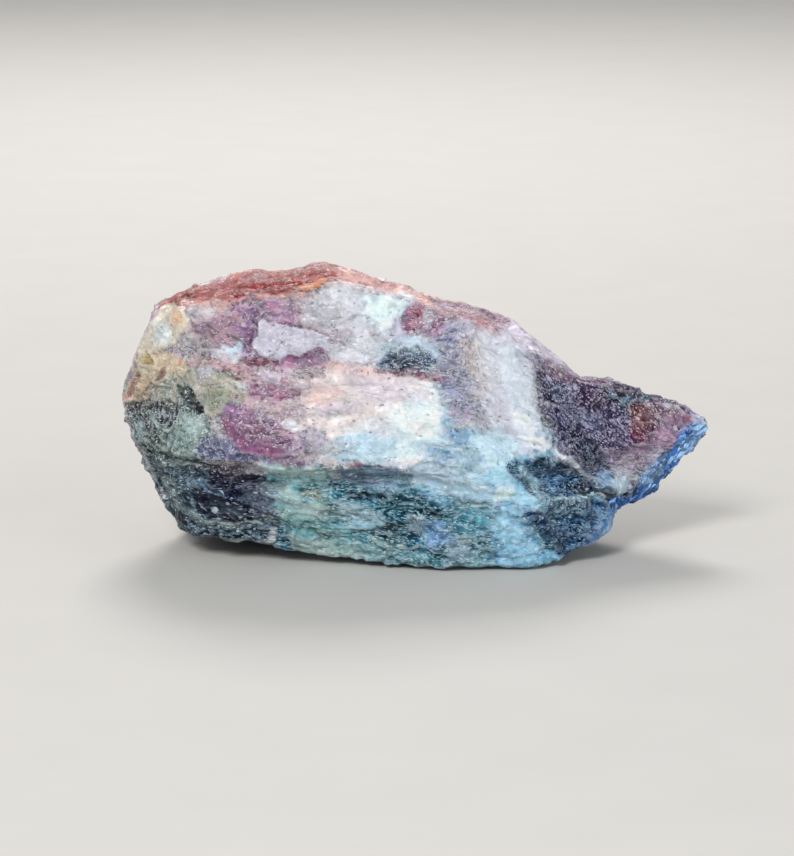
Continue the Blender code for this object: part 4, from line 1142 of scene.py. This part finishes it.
def grain_group():
    """The grain of broken quartz: clouds, cell tones and grit around 0, masks of wisps, rims and specks.

    Pale and Dark are the shares of the pale and dark specks, Slant leans the grain towards the right, and
    Streak draws it out.
    """
    graph, given, output = new_tree(
        "grain", "ShaderNodeTree",
        [("Place", "Vector"), ("Slant", "Float"), ("Streak", "Float"), ("Pale", "Float"),
         ("Dark", "Float")],
        [("Cloud", "Float"), ("Cell", "Vector"), ("Grit", "Float"), ("Wisps", "Float"), ("Rims", "Float"),
         ("Pale Specks", "Float"), ("Dark Specks", "Float")])
    wander = graph.add("ShaderNodeTexNoise", {"Vector": given["Place"], "Scale": 0.3, "Detail": 1.0})
    warped = graph.vector("ADD", given["Place"],
                          graph.vector("SCALE", graph.vector("SUBTRACT", wander.outputs["Color"],
                                                             (0.5, 0.5, 0.5)), scale=2.0))
    drawn = graph.blend(given["Slant"], *(graph.streaked(warped, *lie) for lie in GRAIN_LIES), "VECTOR")
    drawn = graph.blend(given["Streak"], drawn, graph.streaked(warped, *STREAK_LIE), "VECTOR")
    long = (graph.streaked(given["Place"], *lie) for lie in WISP_LIES)
    long = graph.blend(given["Slant"], *long, "VECTOR")
    cloud = graph.less(graph.noise(drawn, size=3.2, detail=4.0, roughness=0.55), 0.5)
    grit = graph.less(graph.noise(drawn, size=0.32, detail=2.0, roughness=0.6), 0.5)
    wisps = None
    for lengthways, size, cluster, thin, wide in WISPS:
        place = long if lengthways else drawn
        line = graph.maths("ABSOLUTE", graph.less(graph.noise(place, size, detail=3.0, roughness=0.55), 0.5))
        line = graph.less(1.0, graph.between(line, thin, wide))
        line = graph.times(line, graph.between(graph.noise(drawn, cluster, 2.0), 0.44, 0.6))
        wisps = line if wisps is None else graph.maths("MAXIMUM", wisps, line)
    cells = graph.add("ShaderNodeTexVoronoi", {"Vector": drawn, "Scale": 0.85})
    cell = graph.vector("SUBTRACT", cells.outputs["Color"], (0.5, 0.5, 0.5))
    gaps = graph.add("ShaderNodeTexVoronoi", {"Vector": drawn, "Scale": 0.85}, feature="DISTANCE_TO_EDGE")
    rims = graph.less(1.0, graph.between(gaps.outputs["Distance"], 0.01, 0.08))
    draw = graph.add("ShaderNodeSeparateColor", {"Color": cells.outputs["Color"]}).outputs[1]
    rims = graph.times(rims, graph.between(draw, 0.45, 0.9))
    specks = []
    for name, most, lengthways, start, size in SPECKS:
        share = graph.times(given[name], most)
        moved = graph.vector("ADD", long if lengthways else drawn, start)
        grains = graph.add("ShaderNodeTexVoronoi", {"Vector": moved, "Scale": 1 / size})
        draw = graph.add("ShaderNodeSeparateColor", {"Color": grains.outputs["Color"]}).outputs[0]
        crowd = graph.times(graph.less(graph.noise(moved, size=1.9, detail=3.0), 0.5), 1.6)
        level = graph.plus(graph.less(draw, graph.less(1.0, share)), crowd)
        apart = graph.line(grit, 0.6, grains.outputs["Distance"])
        middle = graph.less(1.0, graph.between(apart, 0.35, 0.58))
        specks.append(graph.times(graph.between(level, 0.0, 0.1), middle))
    light = graph.maths("MAXIMUM", graph.maths("MAXIMUM", specks[0], specks[1]), specks[2])
    for name, value in zip(("Cloud", "Cell", "Grit", "Wisps", "Rims", "Pale Specks", "Dark Specks"),
                           (cloud, cell, grit, wisps, rims, light, specks[3])):
        graph.give(output.inputs[name], value)
    return graph.tree


def facet_group():
    """Height of small flat crystal faces in two sizes, for bump."""
    graph, given, output = new_tree(
        "facets", "ShaderNodeTree", [("Place", "Vector"), ("Size", "Float")], [("Height", "Float")])
    large = graph.tilted_cells(graph.streaked(given["Place"], *FACET_LIE), given["Size"])
    small = graph.tilted_cells(given["Place"], graph.times(given["Size"], 0.4))
    height = graph.plus(large, graph.times(small, 0.5))
    graph.give(output.inputs["Height"], height)
    return graph.tree


def use_group(graph, tree, inputs):
    """The outputs of a shader node group placed in a material."""
    return graph.add("ShaderNodeGroup", inputs, node_tree=tree).outputs


def empty_material(name):
    """A material with its shader, and the place on the object in mm."""
    material = bpy.data.materials.new(name)
    material.use_nodes = True
    graph = Graph(material.node_tree)
    shader = material.node_tree.nodes["Principled BSDF"]
    place = graph.vector("SCALE", graph.add("ShaderNodeTexCoord").outputs["Object"], scale=1 / MM)
    return material, graph, shader, place


def stored(graph, name, output="Fac"):
    """A value stored on the mesh, in a material."""
    return graph.add("ShaderNodeAttribute", attribute_name=name).outputs[output]


def rgba(name):
    """A colour for a socket."""
    return (*colour(name), 1.0)


def frosty_white(graph, ground, milky):
    """The frosty white that a colour breaks to, which no grain goes past."""
    channels = graph.add("ShaderNodeSeparateXYZ", {"Vector": ground}).outputs
    highest = graph.maths("MAXIMUM", graph.maths("MAXIMUM", channels[0], channels[1]), channels[2])
    lift = graph.line(milky, 0.18, 0.24)
    white = graph.add("ShaderNodeCombineXYZ", {
        axis: graph.line(graph.maths("SQRT", graph.maths("DIVIDE", channel, highest)), 0.42, lift)
        for axis, channel in zip("XYZ", channels)}).outputs[0]
    white = graph.vector("MAXIMUM", white, graph.vector("SCALE", ground, scale=1.15))
    return graph.vector("MINIMUM", white, WHITEST)


def stone_material(grain, facets):
    """Banded quartz: painted minerals, broken up by grain, with sharp edges whitened as painted highlight and
    recesses darkened as painted shade.
    """
    material, graph, shader, place = empty_material("banded_quartz")
    pale, dark, milky = stored(graph, "pale"), stored(graph, "dark"), stored(graph, "milky")
    slant, streak = stored(graph, "slant"), stored(graph, "streak")
    cloud, cell, grit, wisps, rims, pale_specks, dark_specks = use_group(
        graph, grain, {"Place": place, "Slant": slant, "Streak": streak, "Pale": pale, "Dark": dark})

    # some cells take the colour of what is round them, and each has its own hue, tone and depth
    apart = graph.add("ShaderNodeSeparateXYZ", {"Vector": cell}).outputs
    stray = graph.between(graph.plus(apart[1], grit), 0.0, 0.3)
    ground = graph.blend(graph.times(stray, 0.8), stored(graph, "ground", "Color"),
                         stored(graph, "around", "Color"), "RGBA")
    hues = graph.vector("SCALE", cell, scale=graph.line(milky, -0.8, 1.0))
    ground = graph.vector("MULTIPLY", ground,
                          graph.vector("MULTIPLY_ADD", hues, HUE_SWING, (1.0, 1.0, 1.0)))
    stops = graph.times(cloud, graph.line(dark, 7.0, 1.2))
    stops = graph.line(apart[0], graph.line(dark, 1.2, 0.25), stops)
    stops = graph.line(grit, graph.line(dark, 3.0, 0.3), stops)
    toned = graph.vector("SCALE", ground, scale=graph.maths("POWER", 2.0, stops))
    deep = graph.vector("MULTIPLY", ground, DEEPEST)
    white = frosty_white(graph, ground, milky)
    toned = graph.vector("MINIMUM", toned, white)

    # dark specks, then painted shade in recesses, then painted highlight on sharp edges together with the
    # grain's own rims and wisps, then pale specks
    body = graph.blend(graph.times(dark_specks, 0.7), toned, deep, "RGBA")
    # painted shade: recesses go towards the deep colour, less on milky quartz
    hollow_shade = graph.times(stored(graph, "hollow_shade"), graph.line(milky, -0.5, 0.6))
    body = graph.blend(hollow_shade, body, deep, "RGBA")
    # painted highlight: sharp outward edges go towards white, with the rims of the grain's cells
    edge_highlight_and_wisps = graph.line(rims, 0.2, stored(graph, "edge"))
    edge_highlight_and_wisps = graph.times(edge_highlight_and_wisps, graph.plus(pale, 0.1))
    wisps = graph.times(wisps, graph.line(streak, 0.6, 0.5))
    edge_highlight_and_wisps = graph.maths("MAXIMUM", edge_highlight_and_wisps, graph.times(wisps, pale))
    body = graph.blend(edge_highlight_and_wisps, body, white, "RGBA")
    body = graph.blend(graph.times(pale_specks, 0.9), body, white, "RGBA")
    graph.give(shader.inputs["Base Color"], body)

    sheen = graph.noise(place, size=0.7, detail=2.0)
    graph.give(shader.inputs["Roughness"], graph.plus(graph.times(sheen, 0.5), 0.12))
    small, broad = (use_group(graph, facets, {"Place": place, "Size": size})[0] for size in STONE_FACETS)
    height = graph.line(broad, 3.6, graph.times(small, 0.8))
    height = graph.line(pale_specks, 0.3, height)
    height = graph.less(height, graph.times(dark_specks, 0.3))
    bump = graph.add("ShaderNodeBump", {"Height": height, "Distance": 0.35 * MM})
    graph.give(bump.inputs["Strength"], graph.line(milky, -0.1, 0.9))
    graph.give(shader.inputs["Normal"], bump.outputs[0])
    graph.give(shader.inputs["Subsurface Weight"], graph.line(milky, 0.4, 0.05))
    graph.give(shader.inputs["Specular IOR Level"], graph.line(milky, 0.3, 0.1))
    shader.inputs["Subsurface Radius"].default_value = (1.0, 0.95, 1.05)
    shader.inputs["Subsurface Scale"].default_value = 1.2 * MM
    return material


def finish_crystals(graph, shader, place, body, facets, cloud_size, darkest, contrast, smoothest, gloss):
    """Clouds the colour of small crystals and gives them their roughness and faces.

    darkest is the share of the colour that the clouds leave, contrast what they add to it, smoothest the
    least roughness, and gloss the strength of the shine.
    """
    cloud = graph.noise(place, cloud_size, detail=2.0)
    shaded = graph.plus(graph.times(cloud, contrast), darkest)
    graph.give(shader.inputs["Base Color"], graph.vector("SCALE", body, scale=shaded))
    graph.give(shader.inputs["Roughness"], graph.plus(graph.times(cloud, 0.4), smoothest))
    height = use_group(graph, facets, {"Place": place, "Size": CRYSTAL_FACET})[0]
    bump = graph.add("ShaderNodeBump", {"Height": height, "Strength": 0.4, "Distance": 0.1 * MM})
    graph.give(shader.inputs["Normal"], bump.outputs[0])
    shader.inputs["Specular IOR Level"].default_value = gloss


def scale_material(facets):
    """Small quartz scales: the colour of the stone under them, from a little darker to frosty."""
    material, graph, shader, place = empty_material("quartz_scales")
    share = graph.times(graph.maths("POWER", stored(graph, "tone"), 2.0), 0.6)
    body = graph.blend(share, stored(graph, "ground", "Color"), rgba("frost"), "RGBA")
    finish_crystals(graph, shader, place, body, facets, cloud_size=0.9, darkest=0.65, contrast=0.6,
                    smoothest=0.1, gloss=0.6)
    return material


def rim_material(facets):
    """Rim crystals: clear blues, from deep to nearly white."""
    material, graph, shader, place = empty_material("rim_crystals")
    tone = stored(graph, "tone")
    depth = graph.maths("POWER", 2.0, graph.line(tone, 2.6, -1.7))
    body = graph.vector("SCALE", stored(graph, "ground", "Color"), scale=depth)
    light = graph.times(graph.between(tone, 0.55, 1.0), 0.75)
    body = graph.blend(light, body, rgba("rim_light"), "RGBA")
    finish_crystals(graph, shader, place, body, facets, cloud_size=0.8, darkest=0.6, contrast=0.8,
                    smoothest=0.2, gloss=0.4)
    return material


def group(name, make):
    """A node group by name, made the first time it is asked for."""
    return bpy.data.node_groups.get(name) or make()


# ---------------------------------------------------------------- the lump

def band_layer(points, normals):
    """Colour and flecks of the sides that the drawing doesn't show, in chevron bands."""
    wander = noise_at(points, CHEVRON["wander_size"], 3.0) * CHEVRON["wander"]
    fray = noise_at(points, CHEVRON["fray_size"], 8.0) * CHEVRON["fray"]
    along = (points[:, 0] + CHEVRON["bend"] * np.abs(points[:, 2] - CHEVRON["middle"])
             + CHEVRON["skew"] * points[:, 1] + wander + fray)
    stops = [place for place, _ in BANDS]
    tints = np.array([colour(mineral) for _, mineral in BANDS])
    ground = np.stack([np.interp(along, stops, tints[:, c]) for c in range(3)], 1)
    pale = SIDE_FLECKS["share"] + SIDE_FLECKS["pale_change"] * wander / CHEVRON["wander"]
    dark = SIDE_FLECKS["share"] - SIDE_FLECKS["dark_change"] * fray

    def lay(mineral, share):
        """Lays a mineral over the bands."""
        ground[:] += (colour(mineral) - ground) * share[:, None]

    x, height = points[:, 0], points[:, 2]
    # low down, dark teal and slate: partly the stone's colour, partly painted shade and cool light
    low = 1 - smoothstep(*LOW_TINT_AND_SHADE["height"], height + wander)
    teal = smoothstep(*LOW_TINT_AND_SHADE["teal_from"], x)
    lay("deep_teal", low * LOW_TINT_AND_SHADE["teal"] * teal)
    lay("slate", low * LOW_TINT_AND_SHADE["slate"] * (1 - teal))
    # on tops that face up, rust, peach and mauve: partly stain, partly painted warm light from above
    top = smoothstep(*TOP_STAIN_AND_LIGHT["facing"], normals[:, 2])
    top = top * smoothstep(*TOP_STAIN_AND_LIGHT["height"], height + wander)
    x = x + wander * TOP_STAIN_AND_LIGHT["wander"]
    rust_end, peach_end = smoothstep(*TOP_STAIN_AND_LIGHT["rust_to"], x), smoothstep(*TOP_STAIN_AND_LIGHT["peach_to"], x)
    lay("rust", top * (1 - rust_end))
    lay("peach", top * rust_end * (1 - peach_end))
    lay("dusty_mauve", top * peach_end * TOP_STAIN_AND_LIGHT["mauve"])
    end = smoothstep(*END_STAIN["facing"], -normals[:, 0]) * smoothstep(*END_STAIN["height"], height)
    lay("cream", end * END_STAIN["cream"])
    return ground, pale, dark


def drawn_layer(points, ground, pale, dark):
    """Colour and flecks with the drawing laid over them, how far it rises in mm, and the share of the rim."""
    place = on_drawing(points)
    for size, reach, seed in WANDER:
        across, up = noise_at(points, size, seed), noise_at(points, size, seed + CROSS_SEED)
        place = place + np.stack((across, up), 1) * reach
    fray = sum(noise_at(points, size, seed) * reach for size, reach, seed in FRAY["sizes"])
    rise = np.zeros(len(points))
    for area in PATCHES:
        share = cover(place, fray, area)
        ground += (colour(area["mineral"]) - ground) * share[:, None]
        rise += area["rise"] * share
        for values, name in ((pale, "pale"), (dark, "dark")):
            values += (area[name] - values) * share
    return ground, pale, dark, rise, cover(place, fray, RIM)


def swelled(points):
    """How far the swells of the outline stand out at each point, in mm."""
    place = on_drawing(points)
    swell = np.zeros(len(points))
    for middle, radius, height in SWELLS:
        swell += height * np.exp(-((place - from_drawing(middle)) ** 2).sum(1) / radius ** 2)
    return swell


def grain_lie(points):
    """How much the grain leans to the right, and how much it is drawn out, at each point."""
    x, height = points[:, 0], points[:, 2]
    lowered = height + (x > POINT["from"]) * POINT["lower"]
    slant = smoothstep(*SLANTED_FROM, x) * smoothstep(*SLANTED_ABOVE, lowered)
    limit_rise = (x - STREAKED_HIGHER["from"]) * STREAKED_HIGHER["slope"]
    return slant, 1 - smoothstep(*STREAKED_BELOW, height - limit_rise)


def paint(mesh):
    """Stores the stone's colours, flecks and raised areas on the mesh."""
    points = mesh_points(mesh)
    normals = neighbour_mean(mesh, mesh_normals(mesh), NORMAL_ROUNDS)
    normals /= np.linalg.norm(normals, axis=1)[:, None]
    ground, pale, dark = band_layer(points, normals)
    rise, rim = np.zeros((2, len(points)))
    rough = np.full(len(points), ROUGHNESS["sides"])

    towards = facing(points, normals)
    front = np.nonzero(towards > DRAWN_FACING[0])[0]
    weight = smoothstep(*DRAWN_FACING, towards[front])
    drawn, drawn_pale, drawn_dark, raised, drawn_rim = drawn_layer(
        points[front], ground[front], pale[front], dark[front])
    ground[front] += (drawn - ground[front]) * weight[:, None]
    pale[front] += (drawn_pale - pale[front]) * weight
    dark[front] += (drawn_dark - dark[front]) * weight
    rough[front] += (ROUGHNESS["front"] + drawn_dark * ROUGHNESS["dark"] - rough[front]) * weight
    rise[front] = raised * weight * smoothstep(*RAISED_FACING, towards[front])
    rise += swelled(points) * smoothstep(*SWELL_FACING, towards)
    rim[front] = drawn_rim * weight
    slant, streak = grain_lie(points)
    milky = smoothstep(*MILKY, ground @ np.array(BRIGHTNESS))
    pale *= 1 - MILKY_LOSS["pale"] * milky
    dark *= 1 - MILKY_LOSS["dark"] * milky
    scales = pale * smoothstep(*SCALED, ground @ np.array(BRIGHTNESS))

    set_attribute(mesh, "ground", ground)
    set_attribute(mesh, "around", neighbour_mean(mesh, ground, AROUND_ROUNDS))
    for name, values in (("pale", pale), ("dark", dark), ("rise", rise), ("rough", rough), ("rim", rim),
                         ("scales", scales), ("slant", slant), ("streak", streak), ("milky", milky)):
        set_attribute(mesh, name, np.clip(values, -2, 2))


def mark_edges(mesh):
    """Stores where the surface turns sharply out, an edge that the shader whitens as a painted highlight, and
    where it turns in, a recess that it darkens as painted shade.
    """
    points = mesh_points(mesh)
    normals = mesh_normals(mesh)
    near = ((neighbour_mean(mesh, points, EDGE["rounds"]) - points) * normals).sum(1)
    wide = ((neighbour_mean(mesh, points, HOLLOW_SHADE["rounds"]) - points) * normals).sum(1)
    set_attribute(mesh, "edge", smoothstep(*EDGE["out"], -near))
    hollow_shade = np.maximum(smoothstep(*EDGE["in"], near), smoothstep(*HOLLOW_SHADE["in"], wide))
    set_attribute(mesh, "hollow_shade", hollow_shade)


class AMETHYST_OT_make_lump(bpy.types.Operator):
    """Makes the lump: an even copy of the solid, painted, broken up and finished as banded quartz"""

    bl_idname = "amethyst.make_lump"
    bl_label = "Lump"

    def execute(self, context):
        size = sizes()
        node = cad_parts["amethyst"]
        mesh = coarser_back(even_mesh(node, size.mesh_step), LUMP_TRIANGLES)
        paint(mesh)
        obj = linked("work", mesh)
        modifier = obj.modifiers.new("Broken surface", "NODES")
        modifier.node_group = broken_surface_tree()
        material = stone_material(group("grain", grain_group), group("facets", facet_group))
        set_inputs(modifier, {"Cleft Size": size.cleft_size / MM, "Cleft Height": size.cleft_height,
                              "Chip Size": size.chip_size / MM, "Chip Height": size.chip_height,
                              "Ledge Height": size.ledge_height, "Hackle Height": size.hackle_height,
                              "Material": material})
        before, normals = mesh_points(mesh), mesh_normals(mesh)
        mesh = applied(obj, "lump")
        points = mesh_points(mesh)
        # on the whole, the breaks move the surface neither out nor in
        points -= normals * ((points - before) * normals).sum(1).mean()
        place_in_box(mesh, points, *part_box("amethyst"))
        mark_edges(mesh)
        mesh.shade_smooth()
        lump = linked("lump", mesh)
        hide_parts("amethyst")
        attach(lump, "root")
        return {"FINISHED"}


def scattered(name, share, gap, longest, shortest, kind, material):
    """Crystals scattered over the lump where share is high, that gap apart on average, as one piece."""
    obj = linked("work", bpy.data.objects["lump"].data.copy())
    modifier = obj.modifiers.new("Scatter", "NODES")
    modifier.node_group = scatter_tree(name)
    set_inputs(modifier, {"Share": share, "Density": 1 / gap ** 2, "Longest": longest, "Shortest": shortest,
                          "Material": material, **kind})
    mesh = applied(obj, name)
    if not mesh.polygons:
        raise RuntimeError(f"{name}: nothing was scattered")
    place_in_box(mesh, mesh_points(mesh), *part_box("amethyst"))
    piece = linked(name, mesh)
    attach(piece, "root")


class AMETHYST_OT_scatter_scales(bpy.types.Operator):
    """Scatters small quartz scales over the rough parts of the lump"""

    bl_idname = "amethyst.scatter_scales"
    bl_label = "Scales"

    def execute(self, context):
        size = sizes()
        scattered("quartz_scales", "scales", size.scale_gap, size.scale_length, size.scale_short, SCALES,
                  scale_material(group("facets", facet_group)))
        return {"FINISHED"}


class AMETHYST_OT_grow_rim(bpy.types.Operator):
    """Grows blue crystals along the rim under the point"""

    bl_idname = "amethyst.grow_rim"
    bl_label = "Rim crystals"

    def execute(self, context):
        size = sizes()
        scattered("rim_crystals", "rim", size.grain_gap, size.grain_length, size.grain_short, RIM_CRYSTALS,
                  rim_material(group("facets", facet_group)))
        return {"FINISHED"}


# ---------------------------------------------------------------- the stage

LIGHTS = {
    # name: place in metres, size in metres, power in watts, colour
    "back key": ((-0.05, 0.62, 0.62), 0.3, 5.0, (1.0, 0.96, 0.93)),
    "front key": ((-0.30, -0.70, 0.62), 0.3, 6.6, (1.0, 0.99, 0.97)),
    "right fill": ((0.85, -0.60, 0.25), 0.8, 3.6, (0.86, 0.94, 1.0)),
}
SKY = ((0.90, 0.93, 0.97), 0.38)  # colour and strength of the soft light all round


def floor_material():
    """A plain pale floor with the faintest mottling."""
    material, graph, shader, place = empty_material("pale_floor")
    mottle = graph.noise(place, size=18.0, detail=3.0)
    tone = graph.plus(graph.times(mottle, 0.06), 0.97)
    graph.give(shader.inputs["Base Color"], graph.vector("SCALE", tuple(colour("floor")), scale=tone))
    shader.inputs["Roughness"].default_value = 0.85
    return material


class AMETHYST_OT_set_stage(bpy.types.Operator):
    """Lays the floor and sets the lights and the camera"""

    bl_idname = "amethyst.set_stage"
    bl_label = "Stage"

    def execute(self, context):
        scene = context.scene
        reach = sizes().floor_reach
        mesh = bpy.data.meshes.new("floor")
        corners = [(-reach, -reach, 0), (reach, -reach, 0), (reach, reach, 0), (-reach, reach, 0)]
        mesh.from_pydata(corners, [], [(0, 1, 2, 3)])
        mesh.materials.append(floor_material())
        linked("floor", mesh)
        for name, (place, size, power, shade) in LIGHTS.items():
            light = bpy.data.lights.new(name, "AREA")
            light.size, light.energy, light.color = size, power, shade
            lamp = linked(name, light)
            lamp.location = place
            lamp.rotation_euler = (Vector(place) - EYE_AIM).to_track_quat("Z", "Y").to_euler()
        sky = bpy.data.worlds.new("soft sky")
        sky.use_nodes = True
        background = sky.node_tree.nodes["Background"]
        background.inputs["Color"].default_value = (*SKY[0], 1.0)
        background.inputs["Strength"].default_value = SKY[1]
        scene.world = sky
        camera = bpy.data.cameras.new("camera")
        camera.lens = LENS
        eye = linked("camera", camera)
        eye.location = EYE_AIM + EYE_BACK * EYE_DISTANCE
        eye.rotation_euler = EYE_BACK.to_track_quat("Z", "Y").to_euler()
        scene.camera = eye
        scene.view_settings.view_transform = "Standard"
        return {"FINISHED"}


class AMETHYST_PT_sidebar(bpy.types.Panel):
    """The pieces of the amethyst, with their sizes and colours"""

    bl_idname = "AMETHYST_PT_sidebar"
    bl_label = "Raw chevron amethyst"
    bl_space_type = "VIEW_3D"
    bl_region_type = "UI"
    bl_category = "Amethyst"

    def draw(self, context):
        for operator in OPERATORS:
            self.layout.operator(operator.bl_idname, text=operator.bl_label)
        for settings in (context.scene.amethyst_sizes, context.scene.amethyst_colours):
            column = self.layout.column()
            for name in settings.__annotations__:
                column.prop(settings, name)


OPERATORS = (AMETHYST_OT_make_lump, AMETHYST_OT_scatter_scales, AMETHYST_OT_grow_rim, AMETHYST_OT_set_stage)
CLASSES = (AmethystSizes, AmethystColours, *OPERATORS, AMETHYST_PT_sidebar)


def register():
    for each in CLASSES:
        bpy.utils.register_class(each)
    bpy.types.Scene.amethyst_sizes = bpy.props.PointerProperty(type=AmethystSizes)
    bpy.types.Scene.amethyst_colours = bpy.props.PointerProperty(type=AmethystColours)


def unregister():
    del bpy.types.Scene.amethyst_colours
    del bpy.types.Scene.amethyst_sizes
    for each in reversed(CLASSES):
        bpy.utils.unregister_class(each)


def main():
    """Makes every piece in order."""
    register()
    bpy.ops.amethyst.make_lump()
    bpy.ops.amethyst.scatter_scales()
    bpy.ops.amethyst.grow_rim()
    bpy.ops.amethyst.set_stage()


if __name__ == "__main__":
    main()
